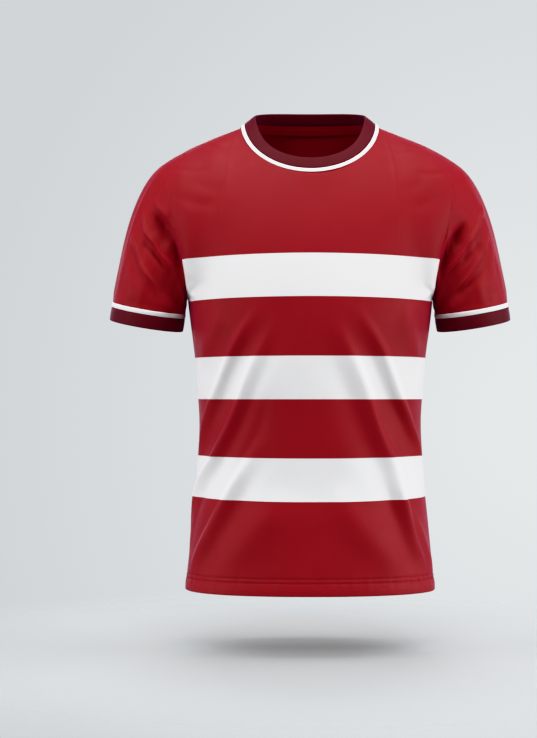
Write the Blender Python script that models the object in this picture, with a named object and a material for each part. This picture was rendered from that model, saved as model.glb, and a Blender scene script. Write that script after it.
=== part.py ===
"""Short-sleeved football jersey with a crew neck, standing open in its worn shape.

Metres, +Z up, front towards -Y. The origin lies midway between the two high shoulder points, where the
neck seam crosses the shoulder seams and a wearer carries the jersey. The panels are walls of knit cloth
lofted through the sections below, and each sewn piece is one object.

A place round the body is a turn: 0 at the front centre, 1 at the side seam on +X, 2 at the back centre
and 3 (or -1) at the side seam on -X. Round a sleeve it is 0 at the underarm, 1 in front, 2 on top and
3 behind.
"""

import math
from collections import namedtuple

import bpy
import numpy as np

# Cloth and seams
CLOTH = 0.0015
HEM_CLOTH = 0.0027
HEM_DEPTH = 0.020
HEM_STEP = 0.0012
SEAM_GAP = 0.0003

# Body
HEM_HEIGHT = -0.7065
UNDERARM_HEIGHT = -0.262
QUARTER_GIRTH = 0.260
ROUNDNESS = 2.25

# Shoulders and neck
SHOULDER_OUT = 0.230
SHOULDER_DROP = 0.060
SHOULDER_SLOPES = (-0.40, -0.72)
NECK_HALF_WIDTH = 0.106
NECK_FRONT = 0.086
NECK_BACK = 0.082
NECK_DROP = 0.078
NECK_SOFTNESS = 0.20
NECK_TURN = 0.45
YOKE_LEAVE = 1.1
YOKE_ARRIVE = 0.8
ARMHOLE_PULL_FROM = 0.3
NET_COLUMNS = 41
NET_ROWS = 17
NET_HOLD = 0.02
EASING_FADE = (0.65, 0.95)

# Collar: a narrow edge on the neck seam and a folded band above it
COLLAR_EDGE_HEIGHT = 0.0064
COLLAR_BAND_HEIGHT = 0.0195
COLLAR_CLOTH = 0.0026
COLLAR_LEAN_FRONT = math.radians(25)
COLLAR_LEAN_SIDE = math.radians(55)
COLLAR_LEAN_BACK = math.radians(17)
TAPE_SHARE = 0.955
TAPE_REACH = 0.96
TAPE_CLOTH = 0.0008

# Sleeves and their ends
SLEEVE_LEAVE = 0.75
SLEEVE_ARRIVE = 0.80
SLEEVE_TURN_LENGTH = 0.100
SLEEVE_LENGTH = 0.200
CUFF_CENTRE = (0.2516, 0.0, -0.3042)
CUFF_RADIUS = 0.0565
CUFF_HEIGHT = 0.021
CUFF_CLOTH = 0.0026
CUFF_TILT = math.radians(9.5)
CUFF_DIP = math.radians(6.0)
STRIPE_HEIGHT = 0.0068
PROUD = 0.0004
CORNER = 0.0006

# Folds
TROUGH_OFFSET = 1.5
TROUGH_SHARE = 0.8

# Steps of the grids
SHOULDER_STEPS = 10
FRONT_NECK_STEPS = 18
BACK_NECK_STEPS = 12
BODY_STEPS = 22
YOKE_STEPS = 13
SLEEVE_STEPS = 10

# Colours
RED = (0.36, 0.008, 0.022)
BURGUNDY = (0.085, 0.006, 0.016)
WHITE = (0.82, 0.82, 0.83)
CLOTH_ROUGHNESS = 0.85

Ring = namedtuple("Ring", "height half_width front back")
RINGS = (
    Ring(-0.7065, 0.1915, 0.1240, 0.128),
    Ring(-0.6500, 0.1853, 0.1215, 0.124),
    Ring(-0.6000, 0.1805, 0.1200, 0.118),
    Ring(-0.5500, 0.1752, 0.1200, 0.114),
    Ring(-0.5000, 0.1715, 0.1215, 0.112),
    Ring(-0.4500, 0.1700, 0.1240, 0.111),
    Ring(-0.4000, 0.1730, 0.1275, 0.113),
    Ring(-0.3500, 0.1770, 0.1300, 0.118),
    Ring(-0.3000, 0.1835, 0.1310, 0.124),
    Ring(-0.2620, 0.1880, 0.1300, 0.128),
    Ring(-0.2200, 0.1910, 0.1270, 0.129),
)

# The armhole from the underarm (0) to the shoulder tip (1), as the front and the back are cut
Armhole = namedtuple("Armhole", "share out front back height")
ARMHOLE = (
    Armhole(0.00, 0.1880, 0.000, 0.000, -0.262),
    Armhole(0.13, 0.1885, 0.034, 0.032, -0.251),
    Armhole(0.25, 0.1910, 0.053, 0.051, -0.227),
    Armhole(0.37, 0.1960, 0.063, 0.062, -0.197),
    Armhole(0.51, 0.2050, 0.067, 0.068, -0.160),
    Armhole(0.66, 0.2120, 0.062, 0.066, -0.120),
    Armhole(0.80, 0.2170, 0.047, 0.053, -0.086),
    Armhole(0.92, 0.2250, 0.022, 0.027, -0.065),
    Armhole(1.00, 0.2300, 0.000, 0.000, -0.060),
)

# The directions in which the yoke's columns arrive at the neck seam and the shoulder seam
Arrival = namedtuple("Arrival", "turn inward across up")
FRONT_ARRIVALS = (
    Arrival(0.00, 0.00, 0.45, 0.89),
    Arrival(0.22, 0.38, 0.44, 0.81),
    Arrival(0.36, 0.55, 0.58, 0.60),
    Arrival(0.45, 0.50, 0.72, 0.42),
    Arrival(0.60, 0.20, 0.95, 0.16),
    Arrival(0.80, 0.00, 1.00, 0.02),
    Arrival(1.00, 0.00, 1.00, 0.00),
)
BACK_ARRIVALS = (
    Arrival(0.00, 0.00, 0.30, 0.95),
    Arrival(0.22, 0.35, 0.38, 0.84),
    Arrival(0.36, 0.50, 0.66, 0.40),
    Arrival(0.45, 0.45, 0.86, 0.02),
    Arrival(0.60, 0.20, 0.98, 0.00),
    Arrival(0.80, 0.00, 1.00, 0.00),
    Arrival(1.00, 0.00, 1.00, 0.00),
)

# The directions in which the sleeve leaves the armhole, from the underarm (0) to the shoulder tip (1)
Departure = namedtuple("Departure", "share out down")
DEPARTURES = (
    Departure(0.00, 0.50, 0.87),
    Departure(0.20, 0.62, 0.78),
    Departure(0.45, 0.80, 0.60),
    Departure(0.70, 0.86, 0.51),
    Departure(1.00, 0.81, 0.58),
)

# Folds: a ridge from one place to another, with a trough beside it on the side of the larger turns (1)
# or the smaller ones (-1), or with none (0). A negative depth is a trough alone. Along is the height on
# the body, and on a sleeve the share of the way from the armhole to the cuff.
Fold = namedtuple("Fold", "turn along to_turn to_along bow width depth side")
BODY_FOLDS = (
    Fold(-0.41, -0.305, -0.79, -0.492, 0.02, 0.020, 0.0048, 1),
    Fold(-0.28, -0.357, -0.83, -0.528, 0.03, 0.019, 0.0044, 1),
    Fold(-0.44, -0.522, -0.84, -0.655, 0.02, 0.020, 0.0042, 1),
    Fold(-0.36, -0.610, -0.60, -0.680, 0.00, 0.026, 0.0022, 0),
    Fold(0.38, -0.312, 0.86, -0.482, -0.02, 0.020, 0.0048, -1),
    Fold(0.29, -0.370, 0.93, -0.630, -0.03, 0.020, 0.0046, -1),
    Fold(0.42, -0.590, 0.66, -0.660, 0.00, 0.026, 0.0022, 0),
    Fold(0.80, -0.508, 0.95, -0.560, 0.00, 0.018, 0.0024, 0),
    Fold(2.42, -0.300, 2.84, -0.470, -0.02, 0.021, 0.0044, -1),
    Fold(2.30, -0.380, 2.88, -0.560, -0.03, 0.021, 0.0042, -1),
    Fold(2.45, -0.540, 2.86, -0.650, -0.02, 0.021, 0.0038, -1),
    Fold(1.60, -0.310, 1.15, -0.480, 0.02, 0.021, 0.0044, 1),
    Fold(1.72, -0.395, 1.12, -0.585, 0.03, 0.021, 0.0042, 1),
    Fold(1.56, -0.560, 1.20, -0.660, 0.02, 0.021, 0.0028, 1),
    Fold(2.10, -0.440, 1.86, -0.500, 0.00, 0.030, -0.0022, 0),
)
LEFT_SLEEVE_FOLDS = (
    Fold(1.24, 0.26, 0.60, 0.62, 0, 0.011, 0.0040, 0),
    Fold(1.04, 0.10, 0.52, 0.40, 0, 0.010, -0.0040, 0),
    Fold(1.48, 0.46, 0.84, 0.90, 0, 0.012, 0.0034, 0),
    Fold(1.28, 0.40, 0.68, 0.84, 0, 0.009, -0.0030, 0),
    Fold(2.84, 0.20, 3.40, 0.58, 0, 0.012, 0.0036, 0),
    Fold(2.60, 0.42, 3.20, 0.86, 0, 0.012, -0.0030, 0),
)
RIGHT_SLEEVE_FOLDS = (
    Fold(1.32, 0.30, 0.56, 0.66, 0, 0.011, 0.0038, 0),
    Fold(1.10, 0.14, 0.54, 0.44, 0, 0.010, -0.0038, 0),
    Fold(1.40, 0.50, 0.80, 0.92, 0, 0.012, 0.0032, 0),
    Fold(1.20, 0.44, 0.66, 0.86, 0, 0.009, -0.0028, 0),
    Fold(2.76, 0.24, 3.36, 0.62, 0, 0.012, 0.0034, 0),
    Fold(2.68, 0.46, 3.24, 0.88, 0, 0.012, -0.0030, 0),
)


# Curves


def hermite(start, leave, end, arrive, share):
    """A cubic from start to end with the given end slopes, at a share of its length."""
    square, cube = share**2, share**3
    return (
        (2 * cube - 3 * square + 1) * start
        + (cube - 2 * square + share) * leave
        + (3 * square - 2 * cube) * end
        + (cube - square) * arrive
    )


def curve_through(knots, values, at):
    """A smooth curve through one value at each knot, read at the places given."""
    knots, values = np.asarray(knots, float), np.asarray(values, float)
    slopes = np.gradient(values, knots)
    low = np.clip(np.searchsorted(knots, at) - 1, 0, len(knots) - 2)
    step = knots[low + 1] - knots[low]
    share = (at - knots[low]) / step
    return hermite(values[low], slopes[low] * step, values[low + 1], slopes[low + 1] * step, share)


def read(rows, key, name, at):
    """A table's column as a smooth curve over its key column."""
    return curve_through([getattr(row, key) for row in rows], [getattr(row, name) for row in rows], at)


def smooth_step(low, high, value):
    share = np.clip((value - low) / (high - low), 0, 1)
    return share**2 * (3 - 2 * share)


def unit(vectors):
    return vectors / np.linalg.norm(vectors, axis=-1, keepdims=True)


def point(x, y, z):
    return np.stack(np.broadcast_arrays(x, y, z), axis=-1)


# The body's surface


def ring_point(turn, height):
    """The body's section at a height: a rounded oval, with its own depth in front and behind."""
    angle = turn * math.pi / 2
    across, ahead = np.sin(angle), np.cos(angle)
    front, back = read(RINGS, "height", "front", height), read(RINGS, "height", "back", height)
    power = 2 / ROUNDNESS
    return point(
        read(RINGS, "height", "half_width", height) * np.sign(across) * np.abs(across) ** power,
        np.where(ahead > 0, -front, back) * np.abs(ahead) ** power,
        height,
    )


def neck_point(angle):
    """The neck seam, by the angle from the front centre: low in front, nearly level behind."""
    ahead = np.cos(angle)

    def ramp(value):
        return (value + np.sqrt(value**2 + NECK_SOFTNESS**2)) / 2

    drop = (ramp(ahead) - ramp(0)) / (ramp(1) - ramp(0))
    depth = np.where(ahead > 0, -NECK_FRONT, -NECK_BACK) * ahead
    return point(NECK_HALF_WIDTH * np.sin(angle), depth, -NECK_DROP * drop)


def shoulder_point(side, share):
    """The shoulder seam, from the neck (0) to the shoulder tip (1)."""
    neck = np.array([NECK_HALF_WIDTH, 0, 0])
    tip = np.array([SHOULDER_OUT, 0, -SHOULDER_DROP])
    span = SHOULDER_OUT - NECK_HALF_WIDTH
    leave, arrive = (span * np.array([1, 0, slope]) for slope in SHOULDER_SLOPES)
    return hermite(neck, leave, tip, arrive, share[..., None]) * point(side, 1, 1)


def armhole_point(lap):
    """The armhole seam on +X, by lap: 0 at the underarm, 0.5 in front, 1 at the tip, 1.5 behind."""
    rows = [(row.share, row.out, -row.front, row.height) for row in ARMHOLE]
    rows += [(2 - row.share, row.out, row.back, row.height) for row in ARMHOLE[-2:0:-1]]
    knots = np.array([(row[0] + 2 * lap_count, *row[1:]) for lap_count in (-1, 0, 1) for row in rows])
    return point(*(curve_through(knots[:, 0], knots[:, axis], lap) for axis in (1, 2, 3)))


def yoke_top(place, back):
    """Where a column of the yoke ends: on the neck seam near the centre, else on the shoulder seam."""
    angle = np.clip(place / NECK_TURN, -1, 1) * math.pi / 2
    neck = neck_point(math.pi - angle if back else angle)
    share = np.clip((np.abs(place) - NECK_TURN) / (1 - NECK_TURN), 0, 1)
    shoulder = shoulder_point(np.sign(place), share)
    return np.where((np.abs(place) <= NECK_TURN)[..., None], neck, shoulder)


def yoke_sweep(place, share, back):
    """The yoke as columns from the underarm section to its top, before the armholes shape it.

    Place is the turn from the panel's own centre, from -1 at its -X edge to 1 at its +X edge. A share
    below 0 or above 1 runs straight on past the column's end.
    """
    turn = 2 - place if back else place
    start = ring_point(turn, UNDERARM_HEIGHT)
    climb = unit(ring_point(turn, UNDERARM_HEIGHT + 0.001) - start)
    end = yoke_top(place, back)
    length = np.linalg.norm(end - start, axis=-1, keepdims=True)
    arrivals = BACK_ARRIVALS if back else FRONT_ARRIVALS
    away = np.abs(place)
    arrive = point(
        -np.sign(place) * read(arrivals, "turn", "inward", away),
        read(arrivals, "turn", "across", away) * (-1 if back else 1),
        read(arrivals, "turn", "up", away),
    )
    leave, arrive = climb * length * YOKE_LEAVE, unit(arrive) * length * YOKE_ARRIVE
    share = share[..., None]
    column = hermite(start, leave, end, arrive, np.clip(share, 0, 1))
    return column + leave * np.minimum(share, 0) + arrive * np.maximum(share - 1, 0)


def yoke_draft(place, share, back):
    """The yoke's columns, drawn over their outer parts to the armholes' real curves."""
    side = np.where(place < 0, -1.0, 1.0)
    lap = np.clip(share, 0, 1)
    armhole = armhole_point(2 - lap if back else lap) * point(side, 1, 1)
    pull = smooth_step(ARMHOLE_PULL_FROM, 1, np.abs(place))[..., None]
    return yoke_sweep(place, share, back) + pull * (armhole - yoke_sweep(side, lap, back))


def bend_matrix(count, order):
    differences = np.diff(np.eye(count), order, axis=0)
    return differences.T @ differences


def yoke_easing(back):
    """What takes the draft to the shape of a cloth that bends evenly inside the yoke's edges, on a net.

    The net reaches one row past the yoke below and above, so that the cloth keeps its slope there. The
    change fades out towards the armholes.
    """
    places, shares = np.linspace(-1, 1, NET_COLUMNS), np.linspace(0, 1, NET_ROWS)
    row_step = shares[1]
    past = np.concatenate([[-row_step], shares, [1 + row_step]])
    draft = yoke_draft(places[None, :], past[:, None], back)
    rows, columns = draft.shape[:2]
    bend = np.kron(bend_matrix(rows, 2), np.eye(columns)) + np.kron(np.eye(rows), bend_matrix(columns, 2))
    bend += 2 * np.kron(bend_matrix(rows, 1), bend_matrix(columns, 1))
    free = np.zeros((rows, columns), bool)
    free[2:-2, 1:-1] = True
    free = free.ravel()
    flat = draft.reshape(-1, 3)
    held = NET_HOLD * flat[free] - bend[np.ix_(free, ~free)] @ flat[~free]
    easing = np.zeros_like(flat)
    stiffness = bend[np.ix_(free, free)] + NET_HOLD * np.eye(free.sum())
    easing[free] = np.linalg.solve(stiffness, held) - flat[free]
    fade = 1 - smooth_step(*EASING_FADE, np.abs(places))
    return places, shares, easing.reshape(rows, columns, 3)[1:-1] * fade[None, :, None]


def curve_weights(knots, at):
    """The weight of each knot's value in a smooth curve through them, at the places given."""
    return np.stack([curve_through(knots, row, at) for row in np.eye(len(knots))], axis=-1)


def yoke_grid(places, shares, back):
    """The yoke's points, with a row for each share of its height and a column for each place."""
    net_places, net_shares, easing = yoke_easing(back)
    along, across = curve_weights(net_shares, shares), curve_weights(net_places, places)
    eased = np.einsum("ri,cj,ijk->rck", along, across, easing)
    return yoke_draft(places[None, :], shares[:, None], back) + eased


def fold_lift(folds, around, along, turn_length, along_length):
    """How far the folds lift the cloth at each place: ridges out, troughs in, fading at both ends."""
    lift = np.zeros(np.broadcast_shapes(np.shape(around), np.shape(along)))
    for fold in folds:
        middle = (fold.turn + fold.to_turn) / 2
        near = (around - middle + 2) % 4 - 2 + middle
        run_across = (fold.to_turn - fold.turn) * turn_length
        run_along = (fold.to_along - fold.along) * along_length
        length = math.hypot(run_across, run_along)
        across, up = (near - fold.turn) * turn_length, (along - fold.along) * along_length
        share = (across * run_across + up * run_along) / length**2
        aside = (up * run_across - across * run_along) / length * math.copysign(1, -run_along)
        aside = aside - fold.bow * turn_length * 4 * share * (1 - share)
        shape = np.exp(-((aside / fold.width) ** 2))
        if fold.side:
            shape = shape - TROUGH_SHARE * np.exp(-((aside / fold.width - fold.side * TROUGH_OFFSET) ** 2))
        ends = smooth_step(-0.15, 0.25, share) * (1 - smooth_step(0.75, 1.15, share))
        lift = lift + fold.depth * shape * ends
    return lift


# Panels: grids whose rows run up the body, or down a sleeve from its armhole


def grid_normals(points, closed):
    if closed:
        across = np.roll(points, -1, axis=1) - np.roll(points, 1, axis=1)
    else:
        across = np.gradient(points, axis=1)
    return unit(np.cross(across, np.gradient(points, axis=0)))


class Panel:
    """A sewn piece as a grid of points on its outer face, with a normal at each."""

    def __init__(self, points, closed):
        self.points, self.closed = points, closed
        self.normals = grid_normals(points, closed)
        self.weights = np.ones(points.shape[:2])

    def lift(self, amount):
        """Moves the points out along their normals, and turns the normals to suit."""
        self.points = self.points + self.normals * amount[..., None]
        self.normals = grid_normals(self.points, self.closed)

    def edges(self):
        """The places along each edge, with the panel on the left as seen from outside."""
        rows, columns = self.points.shape[:2]
        if self.closed:
            ring = np.arange(columns)
            return [(ring * 0, ring), (ring * 0 + rows - 1, ring[::-1])]
        low, right = np.arange(columns - 1), np.arange(rows - 1)
        edge_rows = np.concatenate([low * 0, right, low * 0 + rows - 1, right[::-1] + 1])
        edge_columns = np.concatenate([low, right * 0 + columns - 1, low[::-1] + 1, right * 0])
        return [(edge_rows, edge_columns)]

    def draw_in(self):
        """Moves the edges in by half of the seam gap."""
        for edge in self.edges():
            line = self.points[edge]
            forward = unit(np.roll(line, -1, axis=0) - np.roll(line, 1, axis=0))
            self.points[edge] += np.cross(self.normals[edge], forward) * SEAM_GAP / 2

    def inner(self, cloth):
        """The points of the inner face, with the cloth's thickness given once or for each row."""
        return self.points - self.normals * np.reshape(cloth, (-1, 1, 1))


def share_normals(panels):
    """Gives panels that meet in a point one normal there, so that their walls end on one line."""
    points = np.concatenate([panel.points.reshape(-1, 3) for panel in panels])
    normals = np.concatenate([(panel.normals * panel.weights[..., None]).reshape(-1, 3) for panel in panels])
    place = np.unique(np.round(points, 5), axis=0, return_inverse=True)[1].reshape(-1)
    total = np.zeros((place.max() + 1, 3))
    np.add.at(total, place, normals)
    shared = unit(total[place])
    first = 0
    for panel in panels:
        last = first + panel.weights.size
        panel.normals = shared[first:last].reshape(panel.points.shape)
        first = last


def body_places(back):
    """The columns of a body panel, from its -X edge, or for the back from its +X edge."""
    steps = BACK_NECK_STEPS if back else FRONT_NECK_STEPS
    shoulder = np.linspace(NECK_TURN, 1, SHOULDER_STEPS + 1)[1:]
    places = np.concatenate([-shoulder[::-1], np.linspace(-NECK_TURN, NECK_TURN, steps + 1), shoulder])
    return places[::-1] if back else places


def body_heights():
    """The rows of a body panel up to the underarm, with two close together at the top of the hem."""
    hem_top = HEM_HEIGHT + HEM_DEPTH
    above = np.linspace(hem_top + HEM_STEP, UNDERARM_HEIGHT, BODY_STEPS)
    return np.concatenate([[HEM_HEIGHT, hem_top], above])


def yoke_shares():
    """The rows of the yoke as shares of its height, the last but one along the neck tape's lower edge."""
    return np.append(np.linspace(0, TAPE_SHARE, YOKE_STEPS), 1)


def body_panel(back):
    places, heights = body_places(back), body_heights()
    turns = 2 - places if back else places
    body, yoke = ring_point(turns, heights[:, None]), yoke_grid(places, yoke_shares()[1:], back)
    panel = Panel(np.concatenate([body, yoke]), False)
    # Two panels meet a sleeve at the underarm and at the shoulder tip, so each has half a say there.
    for row in (len(heights) - 1, -1):
        panel.weights[row, [0, -1]] = 0.5
    return panel


def lift_body(panel, back):
    places = body_places(back)[None, :]
    turns = 2 - places if back else places
    panel.lift(fold_lift(BODY_FOLDS, turns, panel.points[..., 2], QUARTER_GIRTH, 1))


def sleeve_frame(side):
    """Unit vectors at a sleeve's end: outwards across it, forwards across it, and down along it."""
    out = np.array([side * math.cos(CUFF_TILT), 0, math.sin(CUFF_TILT)])
    ahead = np.array([0, -math.cos(CUFF_DIP), -math.sin(CUFF_DIP)])
    return out, ahead, side * unit(np.cross(out, ahead))


def sleeve_ring(side, laps, above):
    """Points and outward directions round a sleeve's end, at a height above the cuff's lower edge."""
    out, ahead, down = sleeve_frame(side)
    laps = laps[:, None]
    outward = unit(np.sin(math.pi * laps) * ahead - np.cos(math.pi * laps) * out)
    centre = np.array(CUFF_CENTRE) * (side, 1, 1) - down * above
    return centre + CUFF_RADIUS * outward, outward


def sleeve_laps(side):
    """The laps of a sleeve's columns, from the underarm round the front, or on +X round the back."""
    shares = yoke_shares()
    laps = np.concatenate([shares, 2 - shares[-2:0:-1]])
    return laps if side < 0 else (2 - laps) % 2


def sleeve_panel(side, rising, falling):
    """A sleeve from the armhole, whose two edges rise to the shoulder tip and fall to the underarm."""
    start = np.concatenate([rising, falling[-2:0:-1]])
    laps = sleeve_laps(side)
    above = CUFF_HEIGHT + STRIPE_HEIGHT + 2 * SEAM_GAP
    end = sleeve_ring(side, laps, above)[0]
    length = np.linalg.norm(end - start, axis=-1, keepdims=True)
    share = 1 - np.abs(1 - laps)
    out, down = read(DEPARTURES, "share", "out", share), read(DEPARTURES, "share", "down", share)
    leave = unit(point(side * out, 0, -down)) * length * SLEEVE_LEAVE
    arrive = sleeve_frame(side)[2] * length * SLEEVE_ARRIVE
    along = np.linspace(0, 1, SLEEVE_STEPS + 1)[:, None]
    panel = Panel(hermite(start, leave, end, arrive, along[..., None]), True)
    folds = LEFT_SLEEVE_FOLDS if side < 0 else RIGHT_SLEEVE_FOLDS
    lift = fold_lift(folds, 2 * laps[None, :], along, SLEEVE_TURN_LENGTH, SLEEVE_LENGTH)
    panel.lift(lift * smooth_step(0, 0.2, along) * (1 - smooth_step(0.85, 1, along)))
    return panel


# Objects


def add_object(name, vertices, faces, colour):
    mesh = bpy.data.meshes.new(name)
    mesh.from_pydata(vertices.reshape(-1, 3).tolist(), [], faces)
    mesh.shade_smooth()
    mesh.set_sharp_from_angle(angle=math.radians(40))
    material = bpy.data.materials.new(name)
    material.use_nodes = True
    shader = material.node_tree.nodes["Principled BSDF"]
    shader.inputs["Base Color"].default_value = (*colour, 1)
    shader.inputs["Roughness"].default_value = CLOTH_ROUGHNESS
    mesh.materials.append(material)
    bpy.data.collections["football_jersey"].objects.link(bpy.data.objects.new(name, mesh))


def add_wall(name, outer, inner, closed, colour):
    """A wall of cloth between two grids of points that face each other."""
    rows, columns = outer.shape[:2]
    outside = np.arange(rows * columns).reshape(rows, columns)
    if closed:
        outside = np.hstack([outside, outside[:, :1]])
    inside = outside + rows * columns

    def strip(first, second):
        corners = (first[..., :-1], first[..., 1:], second[..., 1:], second[..., :-1])
        return np.stack(corners, axis=-1).reshape(-1, 4)

    # The inner faces start from the same corners as the outer ones, so both are split the same way.
    faces = strip(outside[:-1], outside[1:]).tolist()
    faces += strip(inside[:-1], inside[1:])[:, [0, 3, 2, 1]].tolist()
    rims = [(inside[0], outside[0]), (outside[-1], inside[-1])]
    if not closed:
        rims += [(outside[:, 0], inside[:, 0]), (inside[:, -1], outside[:, -1])]
    for first, second in rims:
        faces += strip(first, second).tolist()
    add_object(name, np.concatenate([outer.reshape(-1, 3), inner.reshape(-1, 3)]), faces, colour)


def band_section(start, height, cloth, corner=0.0):
    """A band's section as (along, out) points: up its outer face and down its inner one."""
    end, outer, inner = start + height, PROUD, PROUD - cloth
    if not corner:
        return [(start, outer), (end, outer), (end, inner), (start, inner)]
    return [
        (start, outer - corner),
        (start + corner, outer),
        (end - corner, outer),
        (end, outer - corner),
        (end, inner + corner),
        (end - corner, inner),
        (start + corner, inner),
        (start, inner + corner),
    ]


def add_band(name, line, along, out, section, colour):
    """A closed band whose section is carried round a line, in the directions given at its points."""
    vertices = np.stack([line + along * place + out * height for place, height in section], axis=1)
    count, corners = vertices.shape[:2]
    faces = [
        [
            index * corners + corner,
            (index + 1) % count * corners + corner,
            (index + 1) % count * corners + (corner + 1) % corners,
            index * corners + (corner + 1) % corners,
        ]
        for index in range(count)
        for corner in range(corners)
    ]
    add_object(name, vertices, faces, colour)


def add_collar():
    front = np.linspace(-1, 1, FRONT_NECK_STEPS + 1) * math.pi / 2
    back = np.linspace(1, 3, BACK_NECK_STEPS + 1)[1:-1] * math.pi / 2
    angles = np.concatenate([front, back])
    seam = neck_point(angles)
    forward = unit(np.roll(seam, -1, axis=0) - np.roll(seam, 1, axis=0))
    ends = (1 + np.cos(2 * angles)) / 2
    end_lean = np.where(np.cos(angles) > 0, COLLAR_LEAN_FRONT, COLLAR_LEAN_BACK)
    lean = COLLAR_LEAN_SIDE + (end_lean - COLLAR_LEAN_SIDE) * ends
    outward = unit(np.cross(forward, [0, 0, 1]))
    rise = point(0, 0, np.cos(lean)) - outward * np.sin(lean)[:, None]
    rise = unit(rise - forward * np.sum(rise * forward, axis=1, keepdims=True))
    out = np.cross(forward, rise)
    edge_start = SEAM_GAP
    band_start = COLLAR_EDGE_HEIGHT + SEAM_GAP
    edge = band_section(edge_start, COLLAR_EDGE_HEIGHT - edge_start, COLLAR_CLOTH)
    band = band_section(band_start, COLLAR_BAND_HEIGHT, COLLAR_CLOTH, CORNER)
    add_band("collar_edge", seam, rise, out, edge, WHITE)
    add_band("collar_band", seam, rise, out, band, BURGUNDY)


def add_neck_tape(back):
    """The tape inside the back neck, along the seam between the shoulder seams."""
    top = (slice(-2, None), slice(SHOULDER_STEPS, SHOULDER_STEPS + BACK_NECK_STEPS + 1))
    faces = []
    for depth in (CLOTH + SEAM_GAP, CLOTH + SEAM_GAP + TAPE_CLOTH):
        low, high = back.inner(depth)[top]
        faces.append(np.stack([low, low + (high - low) * TAPE_REACH]))
    add_wall("neck_tape", *faces, False, RED)


def add_sleeve_end(side, name):
    laps = sleeve_laps(side)
    down = sleeve_frame(side)[2]
    stripe_line, outward = sleeve_ring(side, laps, CUFF_HEIGHT + SEAM_GAP + STRIPE_HEIGHT)
    cuff_line = sleeve_ring(side, laps, CUFF_HEIGHT)[0]
    stripe, cuff = band_section(0, STRIPE_HEIGHT, CUFF_CLOTH), band_section(0, CUFF_HEIGHT, CUFF_CLOTH, CORNER)
    add_band("cuff_stripe_" + name, stripe_line, down, outward, stripe, WHITE)
    add_band("cuff_" + name, cuff_line, down, outward, cuff, BURGUNDY)


def main():
    for old in list(bpy.data.objects):
        bpy.data.objects.remove(old)
    bpy.context.scene.collection.children.link(bpy.data.collections.new("football_jersey"))

    front, back = body_panel(False), body_panel(True)
    share_normals([front, back])
    lift_body(front, False)
    lift_body(back, True)
    yoke = slice(len(body_heights()) - 1, None)
    left = sleeve_panel(-1, front.points[yoke, 0], back.points[yoke, -1])
    right = sleeve_panel(1, back.points[yoke, 0], front.points[yoke, -1])
    panels = [front, back, left, right]
    share_normals(panels)
    for panel in panels:
        panel.draw_in()

    body_cloth = np.where(body_heights() <= HEM_HEIGHT + HEM_DEPTH, HEM_CLOTH, CLOTH)
    body_cloth = np.concatenate([body_cloth, np.full(YOKE_STEPS, CLOTH)])
    add_wall("front", front.points, front.inner(body_cloth), False, RED)
    add_wall("back", back.points, back.inner(body_cloth), False, RED)
    add_wall("sleeve_left", left.points, left.inner(CLOTH), True, RED)
    add_wall("sleeve_right", right.points, right.inner(CLOTH), True, RED)
    add_collar()
    add_neck_tape(back)
    add_sleeve_end(-1, "left")
    add_sleeve_end(1, "right")


main()
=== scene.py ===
"""Looks of a short-sleeved football jersey: its knit cloth, creases, seams, bands, stitches and studio.

Metres, +Z up, front towards -Y. The cloth lies on the frame's surfaces: the sections, seams and lofts below
are those that the frame's panels were cut from, drawn finer, with the creases and sewn detail on them.

A place round the body is a turn: 0 at the front centre, 1 at the side seam on +X, 2 at the back centre
and 3 (or -1) at the side seam on -X. Round a sleeve it is 0 at the underarm, 1 in front, 2 on top and
3 behind.
"""

import math
from collections import namedtuple
from functools import lru_cache, reduce

import bpy
import numpy as np
from bpy.props import FloatProperty, FloatVectorProperty, PointerProperty
from mathutils import Matrix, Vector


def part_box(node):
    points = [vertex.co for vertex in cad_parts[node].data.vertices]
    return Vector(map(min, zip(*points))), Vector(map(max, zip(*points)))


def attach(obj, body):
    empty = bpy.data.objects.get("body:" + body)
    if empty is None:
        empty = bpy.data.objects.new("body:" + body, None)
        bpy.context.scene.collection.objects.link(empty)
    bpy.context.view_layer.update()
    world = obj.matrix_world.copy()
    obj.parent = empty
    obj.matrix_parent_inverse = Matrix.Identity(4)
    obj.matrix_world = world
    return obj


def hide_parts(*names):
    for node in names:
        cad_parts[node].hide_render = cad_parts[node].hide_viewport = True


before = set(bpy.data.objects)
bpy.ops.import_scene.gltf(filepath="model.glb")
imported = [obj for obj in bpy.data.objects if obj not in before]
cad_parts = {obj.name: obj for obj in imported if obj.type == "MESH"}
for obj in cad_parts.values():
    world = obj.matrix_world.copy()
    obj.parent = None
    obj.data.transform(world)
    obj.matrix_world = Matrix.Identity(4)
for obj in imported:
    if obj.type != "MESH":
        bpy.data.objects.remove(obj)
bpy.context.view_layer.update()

bl_info = {
    "name": "Football Jersey",
    "version": (1, 0, 0),
    "blender": (4, 5, 0),
    "location": "View3D > Sidebar > Jersey",
    "description": "Builds a knit football jersey with its creases, bands, stitches and studio",
    "category": "Object",
}

# Cloth and seams
CLOTH = 0.0015
HEM_CLOTH = 0.0027
HEM_DEPTH = 0.020
SEAM_GAP = 0.0001
SEAM_DIP = 0.00018
SEAM_REACH = 0.0013
NEAR_SEAM = (0.0005, 0.0011, 0.0019, 0.0030)
EDGE_ROUNDNESS = 0.8
SHARPEST_FOLD = math.radians(60)
MEETING_DECIMALS = 6

# Body, as the frame's panels are cut
HEM_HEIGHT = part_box("front")[0][2]
UNDERARM_HEIGHT = -0.262
QUARTER_GIRTH = 0.260
ROUNDNESS = 2.25

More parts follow.
